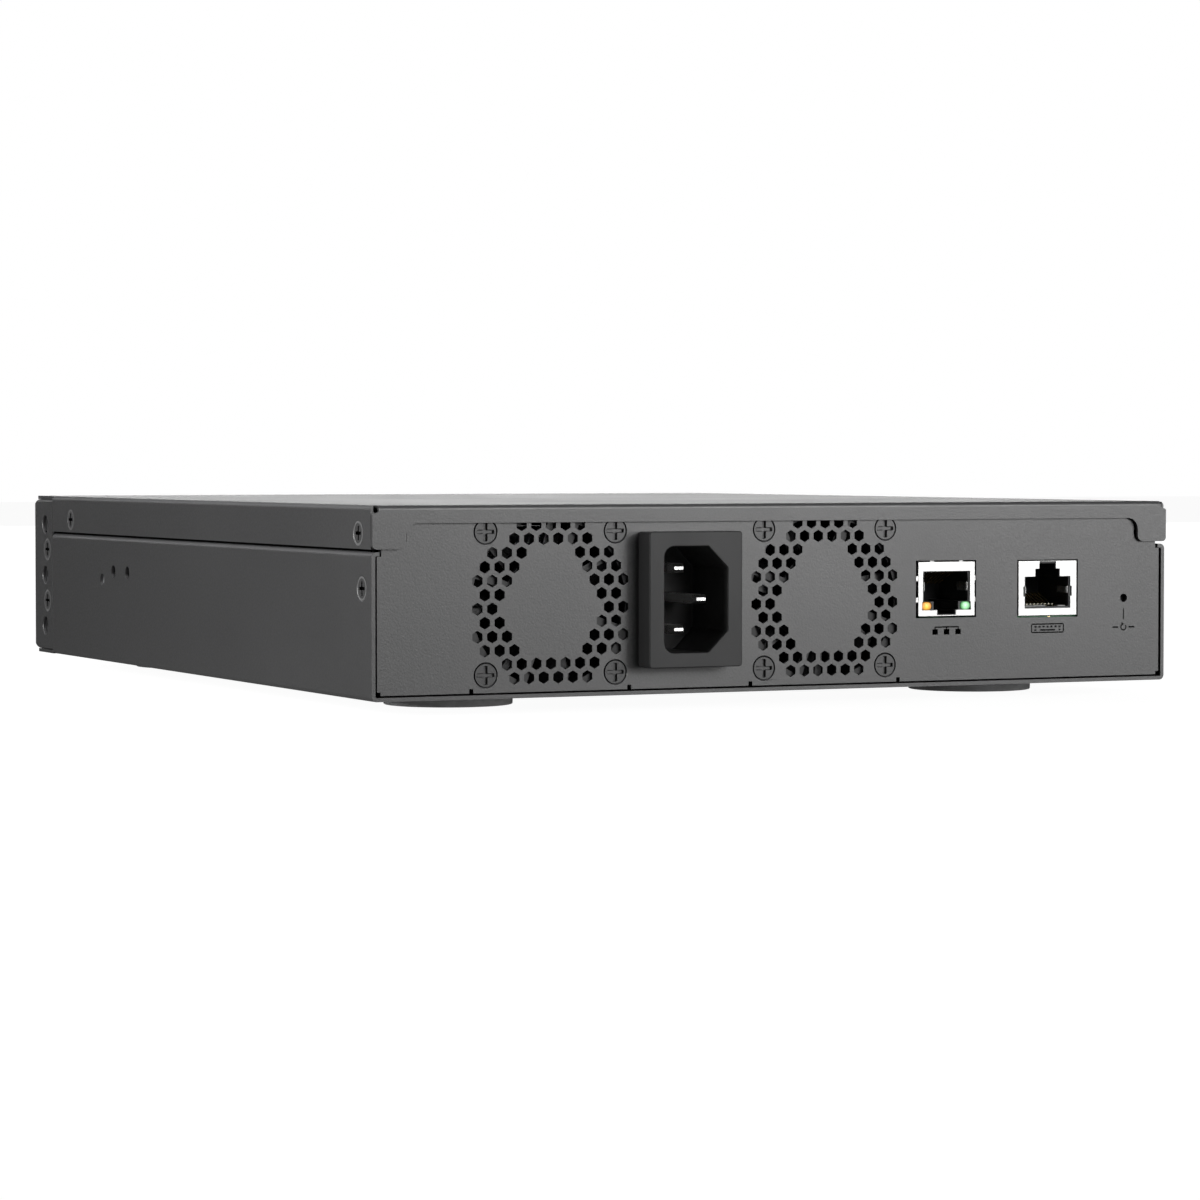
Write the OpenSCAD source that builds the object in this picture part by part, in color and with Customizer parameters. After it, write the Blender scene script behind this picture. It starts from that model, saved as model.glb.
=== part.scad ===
// Half-width one-unit network switch: folded steel case, two fans, mains inlet,
// rear management and console jacks, reset button, and ganged optical port cages in front.
// The rear panel's outer face is y = 0 and the case's underside is z = 0 inside place().
// The rear of the case faces +Y, the front faces -Y, and the cooling air leaves at the rear.

/* [Case] */
// Outside width of the case
case_w = 206.8; // [206.8:0.2:215]
// Height of the case without its feet
case_h = 43.3; // [43.3:0.1:44.3]
// Depth from the front face to the rear panel
case_d = 250.8; // [250.8:0.2:265]
// Thickness of the folded steel sheet
sheet_t = 0.9; // [0.85:0.05:0.95]
// Outer radius of the long folds
fold_r = 1.2; // [1:0.1:1.5]
// Height at which the side walls stop and the cover's sides start
wall_top = 33; // [32.6:0.1:33.2]
// Depth of the front panel's side returns
pan_d = 16; // [15:0.5:17]

/* [Feet] */
// Height of a rubber foot
foot_h = 3.2; // [2:0.1:6]
// Diameter of a rubber foot
foot_dia = 30; // [20:1:34]
// Distance between the feet across the case
foot_span_x = 140; // [120:1:150]
// Distance between the feet along the case
foot_span_y = 180; // [150:1:184]
// Distance from the rear panel to the rear feet's centres
foot_inset = 35.5; // [30:0.5:40]

/* [Fans] */
// Sideways place of the first fan
fan_1_x = 59.94; // [59.5:0.1:60.5]
// Distance between the two fans
fan_pitch = 69.96; // [69.5:0.1:70.5]
// Height of the fan centres
fan_z = 21.27; // [21.2:0.05:21.5]
// Outside size of a fan
fan_w = 40; // [39.5:0.1:40]
// Thickness of a fan along its axis
fan_t = 20; // [15:1:28]
// Distance between a fan's mounting holes
fan_holes = 32; // [31.5:0.1:32.5]
// Number of blades on a rotor
fan_blades = 7; // [5:1:9]

/* [Vents] */
// Distance between neighbouring hexagonal vent holes
vent_pitch = 3.6; // [3.4:0.1:4]
// Vent hole size across its flats
vent_hole = 2.5; // [1.5:0.1:2.8]

/* [Front ports] */
// Columns of small optical bays, two bays high
sfp_cols = 4; // [2:1:4]
// Columns of large optical bays, two bays high
qsfp_cols = 2; // [1:1:2]

/* [Hidden] */

$fn = 48;
eps = 0.01;
// Gap left between folded pieces that lie against each other
lap_gap = 0.05;
// How far the walls and floor reach past the rear panel's face
wall_proud = 0.3;

half_w = case_w / 2;
seam_y = pan_d - case_d;
inlet_proud = 6;
// The origin is the centre of the whole object's footprint, on the plane the feet stand on
rear_y = (case_d - inlet_proud) / 2;

// Cover; the relief is how far the rear fold stops short of the side, and how far down
fold_relief = [1.5, 1.5];
cover_low = wall_top + 0.6;
cover_under = case_h - sheet_t;
flange_low = case_h - 4;
flange_gap = 0.1;
// Gap between the rear panel's lower edge and the floor
panel_gap = 0.42;
tab_in_x = half_w - 8.04;
tab_low = wall_top + 0.6;

// Inner lip of the side walls, which the cover is screwed to
lip_out = half_w - sheet_t - 2 * lap_gap;
lip_in = lip_out - sheet_t;

// Front panel
pan_t = 0.95;
pan_low = sheet_t + lap_gap;
pan_high = cover_under - lap_gap;
tongue_front = 2.4 - case_d;

// Screws
m3_r = 1.5;
head_t = sheet_t - 0.05;
side_head_d = 5.5;
cover_screw_y = [-7.6, -218.15];
cover_screw_z = 37.1;
rear_screw_y = -5.5;
rear_screw_z = 24.9;
ear_hole_y = -241.6;
ear_hole_z = [7.5, 21.5, 35.5];
ear_hole_r = 1.65;
ear_way_r = 2.4;
pan_screw_y = -239.5;
pan_screw_z = [14.5, 28.6];
fan_head_d = 5.3;
pan_head_d = 6;
fan_shank_r = 2.05;

// Side holes for joining a second unit or a bracket: [y, z]
side_holes = [[-190.7, 21.55], [-181.2, 23.9], [-169.6, 23.9]];
side_hole_r = 1.7;
side_nut_r = 1.25;

// Fan places along x
fan_xs = [fan_1_x, fan_1_x - fan_pitch];
fan_face_y = -sheet_t - lap_gap;

// Mains inlet
inlet_x = 26.43;
inlet_z = 21.64;
inlet_flange = [23.5, 30.85];
inlet_neck = [20, 27.4];
inlet_mouth = [16.05, 24.17];
inlet_floor_y = -12;
inlet_back_y = -16;
// Pins: [x from the mouth's centre, z from the mouth's centre, tip y]
inlet_pin_list = [[2, 7, 1.04], [2, -7, 1.04], [-2, 0, 4.4]];
inlet_pin = [4, 2];

// Rear jacks
mgmt_x = -42.68;
mgmt_box = [15.35, 12.8];
mgmt_low = 16.47;
mgmt_cutout = [[-50.71, 16.06], [-34.31, 29.61]];
led_x = 5.28;
led_z = 18.86;
console_x = -70.56;
console_box = [16.2, 13.05];
console_low = 16.15;
console_cutout = [[-79, 15.7], [-62.05, 29.47]];
jack_depth = 21;
jack_face_y = -0.05;
foil_t = 0.3;
reset_x = -92;
reset_z = 20;
reset_hole_r = 1;

// Boards
board_t = 1.6;
board_low = 7.1;
board_top = board_low + board_t;
main_board_box = [[-98.5, -247], [43, -58]];
main_board_holes = [[-95, -231], [36, -231], [-95, -150], [36, -150], [-95, -70], [36, -70]];
psu_box = [[47, -222], [99, -62]];
psu_holes = [[51, -66], [95, -66], [51, -218], [95, -218]];
io_board_low = 14.5;
io_board_top = io_board_low + board_t;
io_box = [[-100.5, -48], [-31.5, -1.3]];
io_holes = [[-97.5, -44], [-34.5, -44], [-97.5, -26]];

// Optical cages: bay size, pitch, left edge and depth
bay_low = board_top + 1;
bay_h = 9;
bay_gap = 4.8;
cage_h = 2 * bay_h + bay_gap + 2;
sfp_bay_w = 13.9;
sfp_pitch = 14.25;
sfp_x0 = -86;
sfp_depth = 47;
qsfp_bay_w = 18.8;
qsfp_pitch = 19.25;
qsfp_x0 = -18;
qsfp_depth = 56;
cage_wall = sfp_pitch - sfp_bay_w;
cage_front_y = -case_d + 0.1;
plug_depth = 10;

// Heat-producing chips
switch_at = [-8, -148];
processor_at = [-72, -132];
heatsink_w = 70;
heatsink_base = 4;
heatsink_h = 22;
fin_pitch = 3.5;
fin_t = 1.2;

// Front status lights
status_x = -94;
status_zs = [12, 18, 24, 30];

steel_paint = [0.27, 0.27, 0.28];
black_plastic = [0.08, 0.08, 0.09];
bright_steel = [0.78, 0.78, 0.8];
board_green = [0.05, 0.3, 0.13];
gold = [0.85, 0.66, 0.25];
aluminium = [0.72, 0.73, 0.75];
copper = [0.72, 0.42, 0.22];

// ---------- helpers ----------

// Moves from the case's own zero to the object's origin
module place() {
  translate([0, rear_y, foot_h]) children();
}

// An outline in x and z, pushed forward (-y) from y = back by depth
module extrude_y(back, depth) {
  translate([0, back, 0]) rotate([90, 0, 0]) linear_extrude(depth) children();
}

// An outline in y and z, pushed along +x from x = start by len
module extrude_x(start, len) {
  translate([start, 0, 0]) rotate([90, 0, 90]) linear_extrude(len) children();
}

module both_sides() {
  children();
  mirror([1, 0, 0]) children();
}

// Turns a piece made along z so that +z points out of the rear
module facing_rear() {
  rotate([-90, 0, 0]) children();
}

// Turns a piece made along z so that +z points out of the +X side
module facing_side() {
  rotate([0, 90, 0]) children();
}

module rounded_rect(w, h, r) {
  square([w - 2 * r, h], center = true);
  square([w, h - 2 * r], center = true);
  for (x = [-1, 1], y = [-1, 1]) {
    translate([x * (w / 2 - r), y * (h / 2 - r)]) circle(r);
  }
}

// The piece of a square corner that a radius leaves over, at the origin, arc centre at [r, r]
module corner_fillet(r) {
  difference() {
    square([r, r]);
    translate([r, r]) circle(r);
  }
}

// A block given by its two opposite corners
module block(low, high) {
  translate(low) cube(high - low);
}

// A round wire through a list of points
module wire(points, d) {
  for (i = [0 : len(points) - 2]) {
    a = points[i];
    v = points[i + 1] - a;
    translate(a) rotate([0, acos(v[2] / norm(v)), atan2(v[1], v[0])]) cylinder(d = d, h = norm(v));
  }
  for (i = [1 : 1 : len(points) - 2]) {
    translate(points[i]) rotate([35, 20, 0]) sphere(d = d + 0.06);
  }
}

// Countersunk cross-head screw, its flat top at z = 0 and its shank below
module csk_screw(head_d, shank_r, length, cross_l, cross_w) {
  difference() {
    union() {
      translate([0, 0, -head_t]) cylinder(r1 = shank_r, r2 = head_d / 2, h = head_t);
      translate([0, 0, -length]) cylinder(r = shank_r, h = length - head_t + eps);
    }
    for (a = [0, 90]) {
      rotate(a) translate([-cross_l / 2, -cross_w / 2, -0.6]) cube([cross_l, cross_w, 1]);
    }
  }
}

// The countersunk hole for such a screw, through a sheet whose face is at z = 0
module csk_hole(head_d, shank_r, room) {
  translate([0, 0, -sheet_t]) cylinder(r1 = shank_r + room, r2 = head_d / 2 + room, h = sheet_t + eps);
  translate([0, 0, -2 * sheet_t]) cylinder(r = shank_r + room, h = 2 * sheet_t);
}

// Hexagonal hole outlines at the vent lattice's points that pass both limits
function lattice(w, h) = [
  let (rows = ceil(h / vent_pitch), columns = ceil(w / vent_pitch * 2))
    for (r = [-rows : rows], c = [-columns : columns])
      if ((r + c) % 2 == 0) [c * vent_pitch / 2, r * vent_pitch * sqrt(3) / 2]
];

module vent_hole_2d() {
  rotate(30) circle(d = vent_hole / cos(30), $fn = 6);
}

// Nearest distance from a lattice point to a fan's screws
function screw_gap(p) = min([for (x = [-1, 1], z = [-1, 1]) norm(p - [x, z] * fan_holes / 2)]);

module fan_vent_2d() {
  // The lattice's nearest row lies a third of a pitch below the fan's centre
  shift = vent_pitch / 3;
  for (q = lattice(fan_w / 2, fan_w / 2)) {
    p = q - [0, shift];
    if (norm(p) > 11.89 && norm(p) < 19.7 && screw_gap(p) > 4.4) {
      translate(p) vent_hole_2d();
    }
  }
}

// ---------- case ----------

// Floor and side walls of the chassis, in x and z
module chassis_section() {
  r = fold_r;
  difference() {
    union() {
      translate([-half_w, r]) square([case_w, wall_top - 2 * r]);
      translate([-half_w + r, 0]) square([case_w - 2 * r, wall_top]);
      for (x = [-1, 1], z = [r, wall_top - r]) {
        translate([x * (half_w - r), z]) circle(r);
      }
    }
    translate([0, wall_top / 2]) rounded_rect(case_w - 2 * sheet_t, wall_top - 2 * sheet_t, r - sheet_t);
    translate([-lip_in, wall_top - 2 * sheet_t]) square([2 * lip_in, 3 * sheet_t]);
  }
}

module chassis_holes() {
  both_sides() {
    for (y = cover_screw_y) {
      translate([lip_in - 1, y, cover_screw_z]) facing_side() cylinder(r = m3_r + 0.02, h = 3);
    }
    translate([half_w, rear_screw_y, rear_screw_z]) facing_side() csk_hole(side_head_d, m3_r, 0.1);
    for (p = side_holes) {
      translate([half_w - 2, p[0], p[1]]) facing_side() cylinder(r = side_hole_r, h = 3);
    }
    for (z = ear_hole_z) {
      translate([lip_in - 1, ear_hole_y, z]) facing_side() cylinder(r = ear_hole_r, h = 3);
    }
    for (z = pan_screw_z) {
      translate([lip_in - 1, pan_screw_y, z]) facing_side() cylinder(r = m3_r + 0.02, h = 3);
    }
  }
}

module chassis_base() {
  lip_top = cover_under - 1.2;
  color(steel_paint) place() difference() {
    union() {
      extrude_y(wall_proud, wall_proud - seam_y) chassis_section();
      // Lips that stand inside the cover's sides
      both_sides() block([lip_in, seam_y, wall_top - sheet_t], [lip_out, -3, lip_top]);
      // Floor carried on under the front panel
      block([-half_w + 0.2, tongue_front, 0], [half_w - 0.2, seam_y + eps, sheet_t]);
      // Stepped tabs that the front panel's returns are screwed to
      both_sides() {
        block([lip_in, 2.8 - case_d, 3], [lip_out, seam_y + sheet_t, lip_top - 1]);
        block([lip_in, seam_y, 3], [half_w - fold_r / 2, seam_y + sheet_t, wall_top - 1]);
      }
    }
    chassis_holes();
  }
}

// The cover's rear flange with its two deeper tabs, in x and z
module rear_flange_2d() {
  tab_out_r = 1;
  tab_in_r = 1.6;
  root_r = 2.8;
  fold_x = half_w - fold_relief[0];
  notch_z = case_h - fold_relief[1];
  translate([-fold_x, flange_low]) square([2 * fold_x, case_h - 1 - flange_low]);
  both_sides() {
    difference() {
      polygon([
        [tab_in_x, tab_low], [half_w, tab_low], [half_w, notch_z - 0.6], [half_w - 0.3, notch_z - 0.3],
        [fold_x, notch_z], [tab_in_x, notch_z]
      ]);
      translate([tab_in_x, tab_low]) corner_fillet(tab_in_r);
      translate([half_w, tab_low]) rotate(90) corner_fillet(tab_out_r);
    }
    translate([tab_in_x, flange_low]) rotate(180) corner_fillet(root_r);
  }
}

module top_cover() {
  bend_r = 1;
  fold_x = half_w - fold_relief[0];
  r = fold_r;
  color(steel_paint) place() difference() {
    union() {
      // Top and both sides
      extrude_y(-flange_gap, -seam_y - 0.2 - flange_gap) difference() {
        union() {
          translate([-half_w, cover_low]) square([case_w, case_h - r - cover_low]);
          translate([-half_w + r, cover_low]) square([case_w - 2 * r, case_h - cover_low]);
          both_sides() translate([half_w - r, case_h - r]) circle(r);
        }
        translate([-half_w + sheet_t, cover_low - 1]) {
          square([case_w - 2 * sheet_t, case_h - r - cover_low + 1]);
        }
        translate([-half_w + r, cover_low - 1]) square([case_w - 2 * r, cover_under - cover_low + 1]);
        both_sides() translate([half_w - r, case_h - r]) circle(r - sheet_t);
      }
      // Top carried on over the front panel
      block([-half_w + 0.2, tongue_front, cover_under], [half_w - 0.2, seam_y + 0.2 + eps, case_h]);
      // Fold into the rear flange
      extrude_x(-fold_x, 2 * fold_x) {
        difference() {
          translate([0, case_h - bend_r]) circle(bend_r);
          translate([0, case_h - bend_r]) circle(bend_r - sheet_t);
          translate([-2, case_h - 3 * bend_r]) square([4, 2 * bend_r]);
          translate([-2, case_h - 3 * bend_r]) square([2, 4 * bend_r]);
        }
        translate([-1, cover_under]) square([1 + eps, sheet_t]);
      }
      extrude_y(bend_r, sheet_t) rear_flange_2d();
    }
    both_sides() for (y = cover_screw_y) {
      translate([half_w, y, cover_screw_z]) facing_side() csk_hole(side_head_d, m3_r, 0.1);
    }
    // Relief slots between the rear fold and the side folds
    both_sides() block([fold_x, -1.6, case_h - fold_relief[1]], [fold_x + 0.9, 2, case_h + 1]);
  }
}

// Rear panel outline in x and z, with its stepped upper corners
module rear_outline_2d() {
  edge_x = half_w - sheet_t - 0.5;
  low = sheet_t + panel_gap;
  step_x = tab_in_x - 0.5;
  step_z = tab_low + 0.3;
  root_r = 2.8;
  foot_r = 1.6;
  root_z = flange_low + 0.3;
  difference() {
    union() {
      translate([-edge_x, low]) square([2 * edge_x, step_z - low]);
      translate([-step_x, low]) square([2 * step_x, root_z - root_r - low]);
      translate([-step_x + root_r, low]) square([2 * (step_x - root_r), cover_under - 0.8 - low]);
      both_sides() {
        translate([step_x - root_r, root_z - root_r]) circle(root_r);
        translate([step_x, step_z]) corner_fillet(foot_r);
      }
    }
    // Relief notches: upper corners, lower corners and the ends of the bottom flanges
    both_sides() {
      translate([edge_x - 1.05, step_z - 1.9]) square([2, 3]);
      translate([edge_x - 0.8, low - 1]) square([2, 1.8]);
    }
    for (x = fan_xs, s = [-1, 1]) {
      translate([x + s * 19.5 - 0.5, low - 1]) square([1, 2]);
    }
  }
}

module rear_cutouts_2d() {
  for (x = fan_xs) {
    translate([x, fan_z]) fan_vent_2d();
  }
  translate([inlet_x, inlet_z]) rounded_rect(inlet_neck[0] + 0.4, inlet_neck[1] + 0.4, 2);
  for (c = [mgmt_cutout, console_cutout]) {
    translate(c[0]) square(c[1] - c[0]);
  }
  translate([reset_x, reset_z]) circle(reset_hole_r);
}

module rear_panel() {
  edge_x = half_w - sheet_t - 0.5;
  low = sheet_t + panel_gap;
  inner = fan_1_x - fan_pitch;
  // Stretches of bottom flange between and beside the fans
  flange_spans = [
    [-edge_x + 1, inner - 20.05],
    [inner + 20.15, fan_1_x - 20.05],
    [fan_1_x + 20.15, edge_x - 1]
  ];
  color(steel_paint) place() difference() {
    union() {
      extrude_y(0, sheet_t) difference() {
        rear_outline_2d();
        rear_cutouts_2d();
      }
      for (s = flange_spans) {
        block([s[0], -9, low], [s[1], -sheet_t + eps, low + sheet_t]);
      }
      both_sides() block([edge_x - sheet_t, -11, 4], [edge_x, -sheet_t + eps, 30]);
    }
    for (x = fan_xs, sx = [-1, 1], sz = [-1, 1]) {
      translate([x + sx * fan_holes / 2, 0, fan_z + sz * fan_holes / 2]) {
        facing_rear() csk_hole(fan_head_d, fan_shank_r, 0.3);
      }
    }
    both_sides() translate([edge_x - 2, rear_screw_y, rear_screw_z]) {
      facing_side() cylinder(r = m3_r + 0.02, h = 3);
    }
  }
}

// Side view of the front panel in y and z, with its cut front corners
module pan_side_2d() {
  cut = [2.4, 1.2];
  f = -case_d;
  polygon([
    [seam_y - 0.2, pan_low], [f + cut[0], pan_low], [f, pan_low + cut[1]],
    [f, pan_high - cut[1]], [f + cut[0], pan_high], [seam_y - 0.2, pan_high]
  ]);
}

function sfp_w() = sfp_cols * sfp_pitch + cage_wall;
function qsfp_w() = qsfp_cols * qsfp_pitch + cage_wall;

// Vent field on the front panel, in x and z, between the given corners
module front_vent_2d(low, high) {
  mid = (low + high) / 2;
  for (q = lattice(high[0] - low[0], high[1] - low[1])) {
    p = mid + q;
    if (p[0] > low[0] && p[0] < high[0] && p[1] > low[1] && p[1] < high[1]) {
      translate(p) vent_hole_2d();
    }
  }
}

module front_panel() {
  r = 0.8;
  mid_z = (pan_low + pan_high) / 2;
  color(steel_paint) place() difference() {
    intersection() {
      extrude_x(-half_w, case_w) pan_side_2d();
      extrude_y(seam_y, pan_d + 1) translate([0, mid_z]) rounded_rect(case_w, pan_high - pan_low, r);
    }
    block(
      [-half_w + pan_t, -case_d + pan_t, pan_low + pan_t],
      [half_w - pan_t, seam_y + 1, pan_high - pan_t]
    );
    extrude_y(-case_d + 2, 3) {
      translate([sfp_x0 - 0.3, board_top - 0.3]) square([sfp_w() + 0.6, cage_h + 0.6]);
      translate([qsfp_x0 - 0.3, board_top - 0.3]) square([qsfp_w() + 0.6, cage_h + 0.6]);
      for (z = status_zs) {
        translate([status_x, z]) circle(1.1);
      }
      front_vent_2d([34, 6], [96, 38]);
    }
    both_sides() {
      for (z = ear_hole_z) {
        translate([half_w, ear_hole_y, z]) facing_side() {
          translate([0, 0, -2]) cylinder(r = ear_way_r, h = 3);
          translate([0, 0, -0.2]) cylinder(r1 = ear_way_r, r2 = ear_way_r + 0.2, h = 0.2 + eps);
        }
      }
      for (z = pan_screw_z) {
        translate([half_w, pan_screw_y, z]) facing_side() csk_hole(pan_head_d, m3_r, 0.1);
      }
    }
  }
}

// ---------- feet and fasteners ----------

module rubber_feet() {
  r = foot_dia / 2;
  edge = 0.3;
  color([0.16, 0.16, 0.17]) place() {
    for (x = [-1, 1], y = [0, 1]) {
      translate([x * foot_span_x / 2, -foot_inset - y * foot_span_y, -foot_h]) rotate_extrude() {
        translate([0, edge]) square([r, foot_h - edge]);
        square([r - edge, edge + eps]);
        translate([r - edge, edge]) circle(edge);
      }
    }
  }
}

module cover_screws() {
  color([0.2, 0.2, 0.21]) place() both_sides() for (y = cover_screw_y) {
    translate([half_w - 0.02, y, cover_screw_z]) facing_side() csk_screw(side_head_d, m3_r, 5, 3.2, 0.7);
  }
}

module rear_panel_screws() {
  color([0.2, 0.2, 0.21]) place() both_sides() {
    translate([half_w - 0.02, rear_screw_y, rear_screw_z]) {
      facing_side() csk_screw(side_head_d, m3_r, 5, 3.2, 0.7);
    }
  }
}

module front_panel_screws() {
  color([0.2, 0.2, 0.21]) place() both_sides() for (z = pan_screw_z) {
    translate([half_w - 0.02, pan_screw_y, z]) facing_side() csk_screw(pan_head_d, m3_r, 5, 3.4, 0.7);
  }
}

module fan_screws() {
  color([0.2, 0.2, 0.21]) place() for (x = fan_xs, sx = [-1, 1], sz = [-1, 1]) {
    translate([x + sx * fan_holes / 2, -0.02, fan_z + sz * fan_holes / 2]) {
      facing_rear() csk_screw(fan_head_d, fan_shank_r, 9, 4.1, 0.8);
    }
  }
}

module clinch_nut(bore_r, across, h) {
  difference() {
    cylinder(d = across / cos(30), h = h, $fn = 6);
    translate([0, 0, -1]) cylinder(r = bore_r, h = h + 2);
  }
}

module clinch_nuts() {
  color(bright_steel) place() both_sides() {
    for (z = ear_hole_z) {
      translate([lip_in - 2.2, ear_hole_y, z]) facing_side() clinch_nut(ear_hole_r, 7, 2.2);
    }
    translate([half_w - sheet_t - 2, side_holes[0][0], side_holes[0][1]]) {
      facing_side() clinch_nut(side_nut_r, 5.5, 2);
    }
  }
}

// ---------- fans ----------
// A fan is made along z: z = 0 is the face against the rear panel and +z goes into the case

module place_fan(x) {
  place() translate([x, fan_face_y, fan_z]) rotate([90, 0, 0]) children();
}

fan_bore_r = 18.9;
hub_r = 11;
hub_wall = 1;
tube_r = 3.6;
bearing_r = 2.6;
shaft_r = 1;
rotor_low = 3;
rotor_high = fan_t - 1.5;

module fan_frame() {
  plate = 3;
  difference() {
    union() {
      for (z = [0, fan_t - plate]) {
        translate([0, 0, z]) linear_extrude(plate) rounded_rect(fan_w, fan_w, 3.5);
      }
      cylinder(r = fan_w / 2 - 0.1, h = fan_t);
    }
    translate([0, 0, -1]) cylinder(r = fan_bore_r, h = fan_t + 2);
    for (x = [-1, 1], y = [-1, 1]) {
      translate([x * fan_holes / 2, y * fan_holes / 2, -1]) cylinder(r = fan_shank_r + 0.05, h = fan_t + 2);
    }
  }
  difference() {
    union() {
      cylinder(r = hub_r + 0.2, h = 1.5);
      cylinder(r = tube_r, h = rotor_high - 4);
      for (a = [20 : 90 : 290]) {
        rotate(a) translate([hub_r - 1, -1, 0]) cube([fan_bore_r - hub_r + 1.4, 2, 1.5]);
      }
    }
    translate([0, 0, 1]) cylinder(r = bearing_r, h = fan_t);
  }
}

// A blade's section, tangential and axial: an arc strip leaning back between two heights
module blade_section_2d(low, high) {
  camber_r = 16;
  thick = 0.9;
  intersection() {
    translate([-5, low]) square([12, high - low]);
    translate([-camber_r + 5.5, high - 1]) difference() {
      circle(camber_r);
      circle(camber_r - thick);
    }
  }
}

module fan_rotor() {
  cap = 1.2;
  difference() {
    union() {
      difference() {
        translate([0, 0, rotor_low]) cylinder(r = hub_r, h = rotor_high - rotor_low);
        translate([0, 0, rotor_low - 1]) cylinder(r = hub_r - hub_wall, h = rotor_high - rotor_low - cap + 1);
      }
      translate([0, 0, rotor_high - 3]) cylinder(r = 2, h = 3);
    }
    cylinder(r = shaft_r, h = rotor_high - 0.6);
  }
  // Cambered blades: slices of a thin curved sheet, trimmed to the ring between hub and duct
  intersection() {
    for (i = [0 : fan_blades - 1]) {
      rotate(i * 360 / fan_blades) extrude_x(hub_r - 2, fan_bore_r - hub_r + 2) {
        blade_section_2d(rotor_low + 0.8, rotor_high - 0.7);
      }
    }
    difference() {
      cylinder(r = fan_bore_r - 0.5, h = fan_t);
      translate([0, 0, -1]) cylinder(r = hub_r - 0.3, h = fan_t + 2);
    }
  }
}

module fan_shaft() {
  translate([0, 0, 1.6]) cylinder(r = shaft_r, h = rotor_high - 0.6 - 1.6);
}

module fan_magnet() {
  difference() {
    translate([0, 0, rotor_low + 0.5]) cylinder(r = hub_r - hub_wall, h = 9);
    translate([0, 0, rotor_low]) cylinder(r = hub_r - hub_wall - 0.9, h = 10);
  }
}

module fan_1_frame() {
  color([0.12, 0.12, 0.13]) place_fan(fan_xs[0]) fan_frame();
}

module fan_2_frame() {
  color([0.12, 0.12, 0.13]) place_fan(fan_xs[1]) fan_frame();
}

module fan_1_rotor() {
  color([0.3, 0.3, 0.31]) place_fan(fan_xs[0]) fan_rotor();
}

module fan_2_rotor() {
  color([0.3, 0.3, 0.31]) place_fan(fan_xs[1]) rotate(17) fan_rotor();
}

module fan_1_shaft() {
  color(bright_steel) place_fan(fan_xs[0]) fan_shaft();
}

module fan_2_shaft() {
  color(bright_steel) place_fan(fan_xs[1]) fan_shaft();
}

module fan_1_magnet() {
  color([0.2, 0.19, 0.18]) place_fan(fan_xs[0]) fan_magnet();
}

module fan_2_magnet() {
  color([0.2, 0.19, 0.18]) place_fan(fan_xs[1]) fan_magnet();
}

module fan_bearings() {
  color(gold) for (x = fan_xs) {
    place_fan(x) difference() {
      translate([0, 0, 1.02]) cylinder(r = bearing_r - 0.01, h = 12);
      translate([0, 0, 0]) cylinder(r = shaft_r + 0.04, h = 14);
    }
  }
}

module fan_stators() {
  color(copper) for (x = fan_xs) {
    place_fan(x) difference() {
      union() {
        translate([0, 0, 4.5]) cylinder(r = 5, h = 7);
        for (a = [0 : 90 : 270]) {
          rotate(a) {
            translate([4, -1.2, 5.5]) cube([4, 2.4, 5]);
            translate([5.2, -2.2, 4.5]) cube([2.1, 4.4, 7]);
          }
        }
        translate([0, 0, 1.7]) cylinder(r = 9, h = 0.8);
        translate([0, 0, 2]) cylinder(r = 5, h = 3);
      }
      cylinder(r = tube_r + 0.02, h = fan_t);
    }
  }
}

module fan_cables() {
  color([0.1, 0.1, 0.11]) place() for (x = fan_xs, i = [0 : 2]) {
    // Three wires side by side from the frame's inner face to the main board's header
    o = 1.25 * i;
    wire([
      [x - 19.4 + o, fan_face_y - fan_t - 0.5, 10],
      [x - 19.4 + o, fan_face_y - fan_t - 8, 18],
      [x - 21 + o, -58.8, 12]
    ], 1.1);
  }
}

// ---------- mains inlet ----------

// The mouth's outline in x and z: cut corners on one side, rounded corners on the other
module inlet_mouth_2d() {
  w = inlet_mouth[0] / 2;
  h = inlet_mouth[1] / 2;
  cut = 4.9;
  r = 2.5;
  polygon([
    [-w, -h + cut], [-w + cut, -h], [w - r, -h], [w - r, h], [-w + cut, h], [-w, h - cut]
  ]);
  translate([0, -h + r]) square([w, 2 * (h - r)]);
  for (s = [-1, 1]) {
    translate([w - r, s * (h - r)]) circle(r);
  }
}

module inlet_body() {
  color([0.22, 0.22, 0.23]) place() translate([inlet_x, 0, inlet_z]) difference() {
    union() {
      extrude_y(inlet_proud, inlet_proud - 0.02) rounded_rect(inlet_flange[0], inlet_flange[1], 0.7);
      extrude_y(0.5, 0.5 - inlet_back_y) rounded_rect(inlet_neck[0], inlet_neck[1], 1.8);
    }
    extrude_y(inlet_proud + 1, inlet_proud + 1 - inlet_floor_y) inlet_mouth_2d();
    for (p = inlet_pin_list) {
      translate([p[0], 0, p[1]]) block([-2.05, inlet_back_y - 1, -1.05], [2.05, inlet_floor_y + 1, 1.05]);
    }
  }
}

// One blade: flat bar with a tapered tip, and a narrower solder tab behind
module inlet_blade(tip_y) {
  taper = 1.8;
  w = inlet_pin[0] / 2;
  h = inlet_pin[1] / 2;
  intersection() {
    translate([0, 0, -h]) linear_extrude(2 * h) polygon([
      [-w, inlet_back_y], [w, inlet_back_y], [w, tip_y - taper],
      [1.15, tip_y], [-1.15, tip_y], [-w, tip_y - taper]
    ]);
    extrude_x(-w, 2 * w) polygon([
      [inlet_back_y, -h], [tip_y - taper, -h], [tip_y, -0.35],
      [tip_y, 0.35], [tip_y - taper, h], [inlet_back_y, h]
    ]);
  }
  block([-w + 0.3, inlet_back_y - 7, -0.4], [w - 0.3, inlet_back_y + eps, 0.4]);
}

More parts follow.
